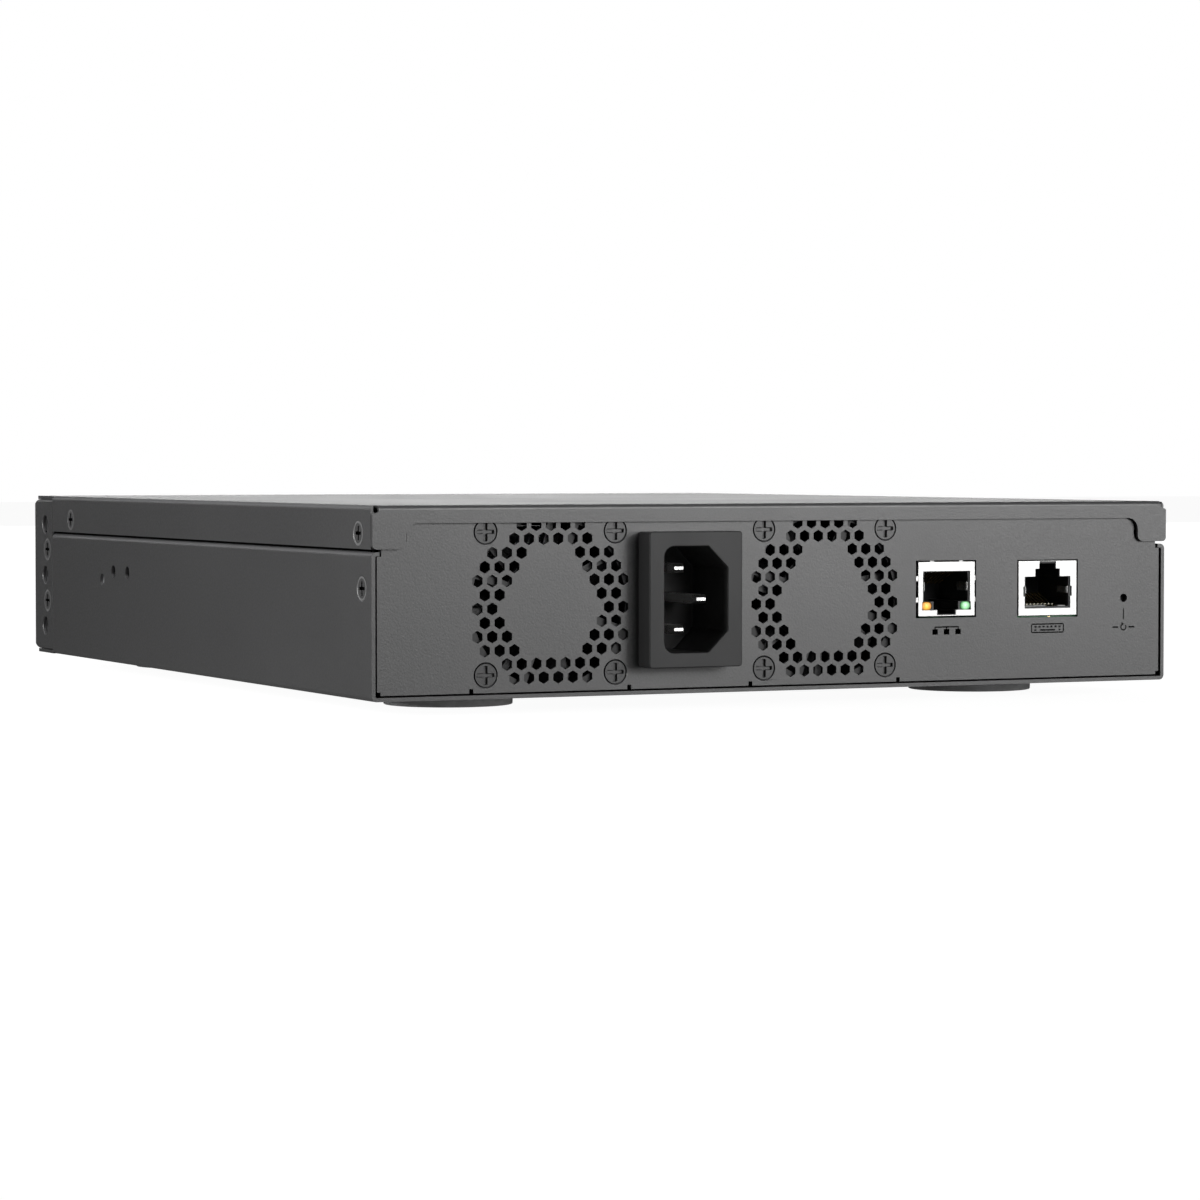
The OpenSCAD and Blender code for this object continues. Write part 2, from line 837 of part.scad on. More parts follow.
module inlet_pins() {
  color(bright_steel) place() translate([inlet_x, 0, inlet_z]) for (p = inlet_pin_list) {
    translate([p[0], 0, p[1]]) inlet_blade(p[2]);
  }
}

module inlet_wires() {
  tab_y = inlet_back_y - 7;
  color([0.45, 0.3, 0.12]) place() {
    for (i = [0, 1]) {
      p = inlet_pin_list[i];
      x = inlet_x + p[0];
      z = inlet_z + p[1];
      wire([
        [x, tab_y - 0.1, z],
        [x, tab_y - 8, z],
        [52, -45 - 3 * i, 18 + 4 * i],
        [56 + 6 * i, -60, 14],
        [56 + 6 * i, -68.9, 13]
      ], 2);
    }
    // Earth wire, to a ring on the case floor
    wire([
      [inlet_x - 2, tab_y - 0.1, inlet_z],
      [inlet_x - 2, tab_y - 8, inlet_z],
      [20, -40, 8],
      [20, -48, 2.2]
    ], 2);
    difference() {
      translate([20, -52, sheet_t + 0.02]) cylinder(r = 3.6, h = 1);
      translate([20, -52, 0]) cylinder(r = 1.6, h = 4);
    }
  }
}

// ---------- power supply ----------

module board_plate(box, low, holes) {
  difference() {
    block([box[0][0], box[0][1], low], [box[1][0], box[1][1], low + board_t]);
    for (h = holes) {
      translate([h[0], h[1], low - 1]) cylinder(r = 1.6, h = board_t + 2);
    }
  }
}

module psu_board() {
  color([0.1, 0.28, 0.12]) place() board_plate(psu_box, board_low, psu_holes);
}

// Film under the board, folded up beside the case wall
module psu_insulator() {
  film_t = 0.3;
  low = 3;
  high = 30;
  edge = psu_box[1][0] + 1;
  color([0.14, 0.14, 0.14]) place() difference() {
    union() {
      block([psu_box[0][0] - 1, psu_box[0][1] - 2, low], [edge, psu_box[1][1] + 2, low + film_t]);
      block([edge - film_t, psu_box[0][1] - 2, low], [edge, psu_box[1][1] + 2, high]);
    }
    for (h = psu_holes) {
      translate([h[0], h[1], 0]) cylinder(r = 4.2, h = 6);
    }
  }
}

module psu_transformer() {
  x = 66;
  y = -162;
  color([0.25, 0.23, 0.2]) place() {
    // Ferrite core halves and the wound bobbin between them
    difference() {
      block([x - 17, y - 14, board_top + 3], [x + 17, y + 14, board_top + 26]);
      block([x - 11, y - 15, board_top + 7], [x + 11, y + 15, board_top + 22]);
    }
    block([x - 10.9, y - 17, board_top + 0.02], [x + 10.9, y + 17, board_top + 21.9]);
  }
}

module psu_bulk_capacitors() {
  color([0.12, 0.16, 0.3]) place() for (y = [-104, -124]) {
    translate([88, y, board_top + 0.02]) cylinder(d = 18, h = 30);
  }
}

module psu_output_capacitors() {
  color([0.12, 0.16, 0.3]) place() for (y = [-186, -198, -210], x = [60, 72]) {
    translate([x, y, board_top + 0.02]) cylinder(d = 10, h = 20);
  }
}

module psu_heatsinks() {
  color(aluminium) place() for (p = [[52.5, -126, 28], [91, -170, 40]]) {
    translate([p[0], p[1], board_top + 0.02]) {
      block([-1, -p[2] / 2, 0], [1, p[2] / 2, 28]);
      for (z = [12 : 5 : 27]) {
        block([-1 + eps, -p[2] / 2, z], [4, p[2] / 2, z + 1.2]);
      }
    }
  }
}

module psu_transistors() {
  color([0.1, 0.1, 0.1]) place() for (p = [[50.8, -118], [50.8, -134], [89.3, -158], [89.3, -176]]) {
    block([p[0] - 4.2, p[1] - 5, board_top + 4], [p[0] + 0.65, p[1] + 5, board_top + 19]);
    for (i = [-1 : 1]) {
      block(
        [p[0] - 1.5, p[1] + 2.54 * i - 0.4, board_top + 0.02],
        [p[0] - 0.9, p[1] + 2.54 * i + 0.4, board_top + 4.1]
      );
    }
  }
}

module psu_filter_chokes() {
  color(copper) place() for (p = [[69, -84], [66, -110]]) {
    translate([p[0], p[1], board_top + 0.02]) rotate_extrude() {
      translate([8, 5.5]) rounded_rect(6, 11, 2);
    }
  }
}

module psu_film_capacitors() {
  color([0.75, 0.65, 0.2]) place() for (p = [[90, -74, 13], [90, -86, 11]]) {
    block([p[0] - 8, p[1] - 4, board_top + 0.02], [p[0] + 8, p[1] + 4, board_top + p[2]]);
  }
}

module dc_harness() {
  color([0.7, 0.12, 0.1]) place() for (i = [0 : 5]) {
    y = -192 - 2.4 * i;
    wire([
      [49.3, y, board_top + 5],
      [46, y, board_top + 9],
      [41, y + 3, board_top + 9],
      [36.7, y + 3, board_top + 5]
    ], 1.6);
  }
}

// ---------- main board ----------

module main_board() {
  color(board_green) place() board_plate(main_board_box, board_low, main_board_holes);
}

module standoff(h) {
  difference() {
    cylinder(d = 6.4, h = h, $fn = 6);
    translate([0, 0, h - 5]) cylinder(r = 1.55, h = 6);
  }
}

module standoffs() {
  color(bright_steel) place() {
    for (h = concat(main_board_holes, psu_holes)) {
      translate([h[0], h[1], sheet_t]) standoff(board_low - sheet_t);
    }
    for (h = io_holes) {
      translate([h[0], h[1], sheet_t]) standoff(io_board_low - sheet_t);
    }
  }
}

module pan_screw() {
  difference() {
    union() {
      cylinder(d = 5.6, h = 1.8);
      translate([0, 0, -5]) cylinder(r = m3_r, h = 5 + eps);
    }
    for (a = [0, 90]) {
      rotate(a) translate([-1.5, -0.35, 0.9]) cube([3, 0.7, 2]);
    }
  }
}

module board_screws() {
  color(bright_steel) place() {
    for (h = concat(main_board_holes, psu_holes)) {
      translate([h[0], h[1], board_top]) pan_screw();
    }
    for (h = io_holes) {
      translate([h[0], h[1], io_board_top]) pan_screw();
    }
    // Earth screw on the case floor
    translate([20, -52, sheet_t + 1.04]) cylinder(d = 6, h = 2);
  }
}

module chip(at, size) {
  block(
    [at[0] - size[0] / 2, at[1] - size[1] / 2, board_top],
    [at[0] + size[0] / 2, at[1] + size[1] / 2, board_top + size[2]]
  );
}

module switch_chip() {
  color([0.3, 0.31, 0.3]) place() {
    chip(switch_at, [45, 45, 1.6]);
    chip(switch_at, [36, 36, 3]);
  }
}

// Straight-finned heat sink standing on a base, fins along y
module finned_sink(w, base, h, pitch) {
  n = floor((w - fin_t) / pitch);
  translate([-w / 2, -w / 2, 0]) cube([w, w, base]);
  for (i = [0 : n]) {
    translate([(i - n / 2) * pitch - fin_t / 2, -w / 2, base - eps]) cube([fin_t, w, h - base]);
  }
}

sink_low = board_top + 3.05;
sink_pins = [[-31, -31], [31, 31], [-31, 31], [31, -31]];

module switch_heatsink() {
  color(aluminium) place() translate([switch_at[0], switch_at[1], sink_low]) difference() {
    finned_sink(heatsink_w, heatsink_base, heatsink_h, fin_pitch);
    for (p = sink_pins) {
      translate([p[0], p[1], -1]) cylinder(r = 1.7, h = heatsink_h);
      translate([p[0], p[1], heatsink_base]) cylinder(r = 4, h = heatsink_h);
    }
  }
}

module heatsink_pins() {
  color(gold) place() for (p = sink_pins) {
    translate([switch_at[0] + p[0], switch_at[1] + p[1], board_top + 0.02]) {
      cylinder(r = 1.5, h = 12);
      translate([0, 0, 12]) cylinder(r = 3, h = 1.6);
    }
  }
}

module support_chips() {
  color([0.1, 0.1, 0.11]) place() {
    chip(processor_at, [23, 23, 2]);
    for (i = [0 : 3]) {
      chip([-94 + 15 * i, -104], [9, 13, 1.1]);
    }
    for (i = [0 : 3]) {
      chip([-80 + 16 * i, -193], [12, 12, 1.3]);
    }
    chip([-82, -84], [15, 12, 1.2]);
    for (i = [0 : 5]) {
      chip([-60 + 14 * i, -92], [5, 6, 0.9]);
    }
  }
}

module processor_heatsink() {
  color(aluminium) place() translate([processor_at[0], processor_at[1], board_top + 2.05]) {
    finned_sink(30, 3, 14, fin_pitch);
  }
}

module power_inductors() {
  color([0.35, 0.34, 0.33]) place() for (i = [0 : 5]) {
    translate([-60 + 14 * i, -82, board_top]) block([-5, -5, 0], [5, 5, 5]);
  }
}

module board_capacitors() {
  color([0.75, 0.76, 0.78]) place() for (i = [0 : 6]) {
    translate([-62 + 13 * i, -70, board_top]) cylinder(d = 8, h = 10);
  }
}

module wire_headers() {
  color([0.9, 0.88, 0.82]) place() {
    // Fan headers
    for (x = fan_xs) {
      block([x - 22.5, -63, board_top + 0.02], [x - 17, -59, board_top + 6]);
    }
    // Mains header and the two ends of the low-voltage harness
    block([53, -73, board_top + 0.02], [65, -69, board_top + 8]);
    block([50, -206, board_top + 0.02], [54, -190, board_top + 8]);
    block([32, -203, board_top + 0.02], [36, -187, board_top + 8]);
    // Ribbon sockets
    block([-70, -62, board_top + 0.02], [-44, -59, board_top + 3]);
    block([-70, -46, io_board_top + 0.02], [-44, -43, io_board_top + 3]);
  }
}

// ---------- optical port cages ----------

// Ganged two-high cage, open in front, with room for the connectors at the back
module cage(x0, cols, pitch, bay_w, depth) {
  w = cols * pitch + cage_wall;
  y = cage_front_y;
  difference() {
    block([x0, y, board_top + 0.02], [x0 + w, y + depth, board_top + cage_h]);
    for (c = [0 : cols - 1]) {
      x = x0 + cage_wall + c * pitch;
      for (z = [bay_low, bay_low + bay_h + bay_gap]) {
        block([x, y - 1, z], [x + bay_w, y + depth - plug_depth, z + bay_h]);
      }
      // Hollow between the two bays, closed in front but for the light pipes
      block(
        [x, y + 0.5, bay_low + bay_h + 0.3],
        [x + bay_w, y + depth - plug_depth, bay_low + bay_h + bay_gap - 0.3]
      );
      for (s = [-1, 1]) {
        translate([x + bay_w / 2 + s * 3.2, y, bay_low + bay_h + bay_gap / 2]) {
          block([-1.1, -1, -0.9], [1.1, 1, 0.9]);
        }
      }
      block(
        [x, y + depth - plug_depth - eps, board_top - 1],
        [x + bay_w, y + depth - 0.3, board_top + cage_h - 0.5]
      );
    }
  }
}

module sfp_cage() {
  color(bright_steel) place() cage(sfp_x0, sfp_cols, sfp_pitch, sfp_bay_w, sfp_depth);
}

module qsfp_cage() {
  color(bright_steel) place() cage(qsfp_x0, qsfp_cols, qsfp_pitch, qsfp_bay_w, qsfp_depth);
}

// Stacked edge connector: a block with a slot at each bay's height
module stacked_connector(x, w, back) {
  difference() {
    block(
      [x + 0.2, back - plug_depth + 0.4, board_top + 0.04],
      [x + w - 0.2, back - 0.5, board_top + cage_h - 0.8]
    );
    for (z = [bay_low, bay_low + bay_h + bay_gap]) {
      block([x + 2, back - plug_depth - 1, z + bay_h / 2 - 0.6], [x + w - 2, back - 3, z + bay_h / 2 + 0.6]);
    }
  }
}

module cage_connectors() {
  color(black_plastic) place() {
    for (c = [0 : sfp_cols - 1]) {
      stacked_connector(sfp_x0 + cage_wall + c * sfp_pitch, sfp_bay_w, cage_front_y + sfp_depth);
    }
    for (c = [0 : qsfp_cols - 1]) {
      stacked_connector(qsfp_x0 + cage_wall + c * qsfp_pitch, qsfp_bay_w, cage_front_y + qsfp_depth);
    }
  }
}

module light_pipe_pair(x, length) {
  for (s = [-1, 1]) {
    translate([x + s * 3.2, cage_front_y, bay_low + bay_h + bay_gap / 2]) {
      block([-1, 0.05, -0.8], [1, length, 0.8]);
    }
  }
}

module port_light_pipes() {
  color([0.9, 0.95, 0.95, 0.6]) place() {
    for (c = [0 : sfp_cols - 1]) {
      light_pipe_pair(sfp_x0 + cage_wall + c * sfp_pitch + sfp_bay_w / 2, sfp_depth - plug_depth - 1);
    }
    for (c = [0 : qsfp_cols - 1]) {
      light_pipe_pair(qsfp_x0 + cage_wall + c * qsfp_pitch + qsfp_bay_w / 2, qsfp_depth - plug_depth - 1);
    }
  }
}

module status_light_pipe() {
  color([0.9, 0.95, 0.95, 0.6]) place() {
    for (z = status_zs) {
      translate([status_x, -case_d + 8, z]) rotate([90, 0, 0]) cylinder(r = 1, h = 7.9);
    }
    block(
      [status_x - 1.4, -case_d + 7.9, board_top + 0.02],
      [status_x + 1.4, -case_d + 10, status_zs[3] + 1.4]
    );
  }
}

// ---------- rear board, jacks and reset button ----------

module rear_io_board() {
  color(board_green) place() board_plate(io_box, io_board_low, io_holes);
}

module io_ribbon() {
  x = [-69, -45];
  color([0.8, 0.8, 0.78]) place() {
    block([x[0], -50, io_board_top + 2], [x[1], -46.05, io_board_top + 2.25]);
    block([x[0], -50.25, board_top + 2], [x[1], -50, io_board_top + 2.25]);
    block([x[0], -58.95, board_top + 2], [x[1], -50 - eps, board_top + 2.25]);
  }
}

// Folded shield with a front opening that the caller cuts; the underside is open at the board
module jack_shield_box(x, low, size) {
  difference() {
    block([x - size[0] / 2, jack_face_y - jack_depth, low], [x + size[0] / 2, jack_face_y, low + size[1]]);
    block(
      [x - size[0] / 2 + foil_t, jack_face_y - jack_depth + foil_t, low + foil_t],
      [x + size[0] / 2 - foil_t, jack_face_y - foil_t, low + size[1] - foil_t]
    );
  }
}

// Spring fingers on the shield that touch the panel around it
module shield_fingers(x, low, size) {
  // The shield stands off centre in its cut-out, so the fingers reach further on one side
  for (z = [3.85, 8.9]) {
    translate([x + size[0] / 2, 0, low + z]) block([-0.2, -4, -0.6], [0.6, -0.12, 0.6]);
    translate([x - size[0] / 2, 0, low + z]) block([-0.27, -4, -0.6], [0.2, -0.12, 0.6]);
  }
  for (s = [-1, 1]) {
    translate([x + s * 3.95, 0, low + size[1]]) block([-0.57, -4, -0.2], [0.57, -0.12, 0.26]);
  }
}

console_key_w = 4.6;

module mgmt_opening_2d() {
  translate([-6.38, 19.8]) square([12.76, 7.24]);
  translate([-6.6, 17.9]) square([13.2, 1.95]);
  translate([-2.52, 16.75]) square([5.04, 1.3]);
}

module console_opening_2d() {
  translate([-6.34, 17.87]) square([12.68, 7.56]);
  translate([-6.74, 20.75]) square([13.48, 2.35]);
  translate([-3.4, 25.4]) square([6.8, 1.9]);
  translate([-console_key_w / 2, 27.2]) square([console_key_w, 1.4]);
}

module mgmt_jack_shield() {
  color(bright_steel) place() {
    difference() {
      jack_shield_box(mgmt_x, mgmt_low, mgmt_box);
      translate([mgmt_x, 0, 0]) extrude_y(1, 2) mgmt_opening_2d();
    }
    difference() {
      shield_fingers(mgmt_x, mgmt_low, mgmt_box);
      block(
        [mgmt_x - mgmt_box[0] / 2 + 0.1, -9, mgmt_low + 0.1],
        [mgmt_x + mgmt_box[0] / 2 - 0.1, 1, mgmt_low + mgmt_box[1] - 0.1]
      );
    }
    // Runners that the shield stands on the board with
    for (s = [-1, 1]) {
      block(
        [mgmt_x + s * 7.3 - 0.4, -17, io_board_top + 0.02],
        [mgmt_x + s * 7.3 + 0.4, -5, mgmt_low + foil_t / 2]
      );
    }
  }
}

module console_jack_shield() {
  color(bright_steel) place() difference() {
    jack_shield_box(console_x, console_low, console_box);
    translate([console_x, 0, 0]) extrude_y(1, 2) console_opening_2d();
    // Lead-in ramp above the key slot
    extrude_x(console_x - console_key_w / 2, console_key_w) {
      polygon([[-0.4, 28.55], [0.1, 28.55], [0.1, 29.1], [jack_face_y, 29.1]]);
    }
  }
}

// The plastic inside a shield, solid but for what the caller cuts
module jack_insert_block(x, low, size) {
  gap = foil_t + 0.03;
  block(
    [x - size[0] / 2 + gap, jack_face_y - jack_depth + gap, low + gap],
    [x + size[0] / 2 - gap, jack_face_y - gap, low + size[1] - gap]
  );
}

plug_room = 14;

// Outlines of the jack's two lamp windows, grown by room
module led_windows_2d(room) {
  for (s = [-1, 1]) {
    translate([s * led_x, led_z]) rounded_rect(2.7 + 2 * room, 1.85 + 2 * room, 0.85);
  }
}

module mgmt_jack_insert() {
  color(black_plastic) place() difference() {
    jack_insert_block(mgmt_x, mgmt_low, mgmt_box);
    translate([mgmt_x, 0, 0]) {
      extrude_y(1, plug_room + 1) {
        translate([-5.95, 19.95]) square([11.9, 6.9]);
        translate([-3.3, 18]) square([6.6, 2]);
        translate([-2.3, 16.9]) square([4.6, 1.2]);
      }
      // Slots that the contacts flex in
      for (i = [-3.5 : 3.5]) {
        block([i * 1.02 - 0.3, -12, 26.8], [i * 1.02 + 0.3, -1, 28.2]);
      }
      extrude_y(1, 13) led_windows_2d(0.04);
    }
  }
}

module mgmt_jack_leds() {
  color([0.95, 0.7, 0.2]) place() translate([mgmt_x, 0, 0]) extrude_y(-0.3, 11.6) led_windows_2d(0);
}

module console_jack_insert() {
  color(black_plastic) place() difference() {
    jack_insert_block(console_x, console_low, console_box);
    translate([console_x, 0, 0]) {
      extrude_y(1, plug_room + 1) {
        translate([-5.95, 18.3]) square([11.9, 7]);
        translate([-3.3, 25.2]) square([6.6, 2]);
        translate([-2.2, 27.1]) square([4.4, 1.4]);
      }
      for (i = [-3.5 : 3.5]) {
        block([i * 1.02 - 0.3, -12, 17], [i * 1.02 + 0.3, -1, 18.4]);
      }
    }
  }
}

// Eight sprung wires; up is +1 when they rise into the mouth from below
module contact_row(x, root_z, up) {
  for (i = [-3.5 : 3.5]) {
    wire([
      [x + i * 1.02, -2, root_z],
      [x + i * 1.02, -10, root_z + up * 3.4]
    ], 0.42);
    wire([
      [x + i * 1.02, -2, root_z],
      [x + i * 1.02, -11.5, root_z]
    ], 0.42);
    translate([x + i * 1.02, -2, root_z]) sphere(d = 0.5);
  }
}

module jack_contacts() {
  color(gold) place() {
    contact_row(mgmt_x, 27.3, -1);
    contact_row(console_x, 17.8, 1);
  }
}

module reset_switch_body() {
  color(black_plastic) place() difference() {
    block([reset_x - 3, -9, io_board_top + 0.02], [reset_x + 3, -5.5, reset_z + 3]);
    translate([reset_x, -5, reset_z]) rotate([90, 0, 0]) cylinder(r = 1.65, h = 2.6);
  }
}

module reset_plunger() {
  color([0.12, 0.12, 0.12]) place() translate([reset_x, -1.6, reset_z]) rotate([90, 0, 0]) {
    cylinder(r = 1.6, h = 5.1);
  }
}

chassis_base();
top_cover();
rear_panel();
front_panel();
rubber_feet();
cover_screws();
rear_panel_screws();
front_panel_screws();
fan_screws();
clinch_nuts();
fan_1_frame();
fan_1_rotor();
fan_1_shaft();
fan_1_magnet();
fan_2_frame();
fan_2_rotor();
fan_2_shaft();
fan_2_magnet();
fan_bearings();
fan_stators();
fan_cables();
inlet_body();
inlet_pins();
inlet_wires();
psu_board();
psu_insulator();
psu_transformer();
psu_bulk_capacitors();
psu_output_capacitors();
psu_heatsinks();
psu_transistors();
psu_filter_chokes();
psu_film_capacitors();
dc_harness();
main_board();
standoffs();
board_screws();
switch_chip();
switch_heatsink();
heatsink_pins();
support_chips();
processor_heatsink();
power_inductors();
board_capacitors();
wire_headers();
sfp_cage();
qsfp_cage();
cage_connectors();
port_light_pipes();
status_light_pipe();
rear_io_board();
io_ribbon();
mgmt_jack_shield();
mgmt_jack_insert();
mgmt_jack_leds();
console_jack_shield();
console_jack_insert();
jack_contacts();
reset_switch_body();
reset_plunger();
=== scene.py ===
"""Looks of the half-width network switch: procedural materials, broken edges, printed signs,
small parts of the jacks and ports, and the studio. Lengths are in millimetres unless a comment
says otherwise, and MM turns them into metres."""
import bpy
import bmesh
import math
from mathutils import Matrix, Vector


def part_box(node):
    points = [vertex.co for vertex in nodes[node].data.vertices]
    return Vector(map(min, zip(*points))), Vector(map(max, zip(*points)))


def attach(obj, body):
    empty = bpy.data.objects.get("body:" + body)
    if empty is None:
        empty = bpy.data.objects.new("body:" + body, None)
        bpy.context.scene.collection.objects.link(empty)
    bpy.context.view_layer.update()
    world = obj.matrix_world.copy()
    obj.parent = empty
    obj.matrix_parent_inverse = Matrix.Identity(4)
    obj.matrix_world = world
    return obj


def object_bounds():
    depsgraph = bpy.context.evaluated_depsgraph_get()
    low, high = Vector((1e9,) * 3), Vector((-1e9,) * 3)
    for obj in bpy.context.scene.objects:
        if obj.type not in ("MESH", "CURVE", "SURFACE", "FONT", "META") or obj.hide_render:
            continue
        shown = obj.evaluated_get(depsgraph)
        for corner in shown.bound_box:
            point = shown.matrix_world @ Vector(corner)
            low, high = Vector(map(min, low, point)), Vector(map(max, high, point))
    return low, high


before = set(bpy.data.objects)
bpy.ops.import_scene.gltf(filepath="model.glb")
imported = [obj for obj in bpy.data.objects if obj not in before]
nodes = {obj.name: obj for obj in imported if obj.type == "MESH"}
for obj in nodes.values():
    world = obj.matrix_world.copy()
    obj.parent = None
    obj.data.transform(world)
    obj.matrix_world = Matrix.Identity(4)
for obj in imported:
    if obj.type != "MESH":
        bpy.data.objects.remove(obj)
cad_low, cad_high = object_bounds()

MM = 0.001

# How far above the case's underside the seam over the side walls starts and ends; the lip there is
# painted black as a painted shadow
SEAM_RANGE = (33.03, 33.62)
# What a wave texture of scale 1 repeats in
WAVE_PERIOD = 0.314


# ---------- a small builder for node materials ----------

class Shader:
    """Wraps one material; every helper adds a node and hands back its output socket."""

    def __init__(self, name):
        self.material = bpy.data.materials.new(name)
        self.material.use_nodes = True
        self.tree = self.material.node_tree
        self.tree.nodes.clear()
        self.bsdf = self.tree.nodes.new("ShaderNodeBsdfPrincipled")
        self.out = self.tree.nodes.new("ShaderNodeOutputMaterial")
        self.tree.links.new(self.bsdf.outputs[0], self.out.inputs["Surface"])
        self.at = self.add("ShaderNodeTexCoord", "Object")

    def add(self, kind, output, inputs=None, **settings):
        node = self.tree.nodes.new(kind)
        for name, value in settings.items():
            setattr(node, name, value)
        for key, value in (inputs or {}).items():
            self.feed(node.inputs[key], value)
        return node.outputs[output]

    def feed(self, socket, value):
        if isinstance(value, bpy.types.NodeSocket):
            self.tree.links.new(value, socket)
        elif socket.type == "RGBA" and len(value) == 3:
            socket.default_value = (*value, 1)
        else:
            socket.default_value = value

    def set(self, **inputs):
        """Feeds the surface's inputs; an underscore in a name stands for a space."""
        for name, value in inputs.items():
            self.feed(self.bsdf.inputs[name.replace("_", " ")], value)

    def math(self, operation, a, b=0.5, c=0.5):
        return self.add("ShaderNodeMath", 0, {0: a, 1: b, 2: c}, operation=operation)

    def blend(self, a, share, b):
        """Adds two values, the first taking the given share and the second the rest."""
        return self.math("MULTIPLY_ADD", a, share, self.math("MULTIPLY", b, 1 - share))

    def scaled(self, x, y, z):
        """The object's coordinates, each stretched by its own factor."""
        return self.add("ShaderNodeVectorMath", 0, {0: self.at, 1: (x, y, z)}, operation="MULTIPLY")

    def part(self, axis):
        """One coordinate of the point, in metres."""
        return self.add("ShaderNodeSeparateXYZ", axis, {0: self.at})

    def radius_from(self, y, z):
        """Distance of the point from a line along x through y and z."""
        inputs = {0: self.scaled(0, 1, 1), 1: (0, y, z)}
        return self.add("ShaderNodeVectorMath", "Value", inputs, operation="DISTANCE")

    def apart(self, value, centre):
        """How far a value is from a centre."""
        return self.math("ABSOLUTE", self.math("SUBTRACT", value, centre))

    def between(self, value, low, high):
        """One inside a range and zero outside."""
        return self.math("MULTIPLY", self.above(value, low), self.math("LESS_THAN", value, high))

    def facing(self, axis):
        """One component of the surface's own direction."""
        normal = self.add("ShaderNodeNewGeometry", "True Normal")
        return self.add("ShaderNodeSeparateXYZ", axis, {0: normal})

    def noise(self, size, detail=2.0, at=None):
        """Soft noise whose features are about size millimetres."""
        inputs = {"Vector": at or self.at, "Scale": 1 / (size * MM), "Detail": detail}
        return self.add("ShaderNodeTexNoise", 0, inputs)

    def cells(self, size, **settings):
        """Distance to the middle of cells that are about size millimetres wide."""
        inputs = {"Vector": self.at, "Scale": 1 / (size * MM)}
        return self.add("ShaderNodeTexVoronoi", "Distance", inputs, **settings)

    def stripes(self, pitch, direction, distortion=0.0):
        """Soft stripes, pitch millimetres apart."""
        inputs = {"Vector": self.at, "Scale": WAVE_PERIOD / (pitch * MM)}
        inputs.update({"Distortion": distortion, "Detail": 1.0})
        return self.add("ShaderNodeTexWave", "Fac", inputs, bands_direction=direction)

    def remap(self, value, low, high, to_low=0.0, to_high=1.0):
        inputs = {0: value, 1: low, 2: high, 3: to_low, 4: to_high}
        return self.add("ShaderNodeMapRange", 0, inputs)

    def above(self, value, limit):
        return self.math("GREATER_THAN", value, limit)

    def mix(self, factor, a, b):
        return self.add("ShaderNodeMix", 2, {0: factor, 6: a, 7: b}, data_type="RGBA")

    def tinted(self, factor, colour, spread):
        """The colour, darker and lighter by spread as factor runs from 0 to 1."""
        dark = [c * (1 - spread) for c in colour]
        light = [c * (1 + spread) for c in colour]
        return self.mix(factor, dark, light)

    def bump(self, height, depth, under=None):
        """A normal bent by a height that spans depth millimetres."""
        inputs = {"Height": height, "Distance": depth * MM, "Strength": 1.0}
        if under is not None:
            inputs["Normal"] = under
        return self.add("ShaderNodeBump", 0, inputs)


# ---------- materials ----------

def powder_coat(name, colour):
    """Baked powder paint: a fine pebbled skin over a slow unevenness.

    The grain is coarse on the panels that face the rear and the front, and finer on the folded
    top and sides. Long bends carry a painted highlight: their colour is made much lighter. The lip
    seen through the seam above the side walls is painted nearly black, a painted shadow in the gap."""
    s = Shader(name)
    pebble = s.noise(0.5, 2)
    speckle = s.noise(0.27, 1)
    cloud = s.noise(45, 2)
    panel = s.remap(s.math("ABSOLUTE", s.facing(1)), 0.5, 0.9, 0.15, 1.0)
    grain = s.remap(s.blend(pebble, 0.55, speckle), 0.38, 0.62)
    shade = s.math("MULTIPLY_ADD", s.math("SUBTRACT", grain, 0.5), panel, 0.5)
    base = s.tinted(shade, colour, 0.34)
    clouded = s.mix(s.remap(cloud, 0.35, 0.65, 0.0, 0.1), base, [c * 1.4 for c in colour])
    rise = s.facing(2)
    # Painted highlight: faces tilted between up and sideways, the long bends, get a much lighter
    # colour that stands in for light caught on the fold
    bend_highlight = s.math("MULTIPLY", s.remap(rise, 0.2, 0.5), s.remap(rise, 0.9, 0.98, 1.0, 0.0))
    # Painted shadow: the lip seen through the seam above the side walls is made black and
    # unreflective, standing in for the shade in the narrow gap
    outward = s.math("ABSOLUTE", s.part(0))
    beside = s.between(outward, cad_high.x - 1.6 * MM, cad_high.x - 0.6 * MM)
    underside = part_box("chassis_base")[0].z
    seam_low, seam_high = (underside + height * MM for height in SEAM_RANGE)
    seam_shadow = s.math("MULTIPLY", s.between(s.part(2), seam_low, seam_high), beside)
    rubbed_and_highlit = s.mix(bend_highlight, clouded, [c * 4.5 for c in colour])
    s.set(
        Base_Color=s.mix(seam_shadow, rubbed_and_highlit, (0.001, 0.001, 0.001)),
        Roughness=s.remap(s.blend(pebble, 0.7, cloud), 0.35, 0.65, 0.35, 0.46),
        Normal=s.bump(s.math("MULTIPLY", pebble, panel), 0.02, s.bump(s.noise(2.2, 1), 0.006)),
        Specular_IOR_Level=s.remap(seam_shadow, 0.0, 1.0, 1.0, 0.0),
    )
    return s.material


def moulded(name, colour, roughness=0.45, grain=0.25, depth=0.006, specular=0.5):
    """Injection-moulded plastic: an eroded mould texture and faint flow marks."""
    s = Shader(name)
    texture = s.noise(grain, 3)
    flow = s.noise(6, 2, s.scaled(1, 1, 0.35))
    s.set(
        Base_Color=s.tinted(s.blend(texture, 0.6, flow), colour, 0.14),
        Roughness=s.remap(flow, 0.3, 0.7, roughness - 0.05, roughness + 0.05),
        Normal=s.bump(texture, depth),
        Specular_IOR_Level=specular,
    )
    return s.material


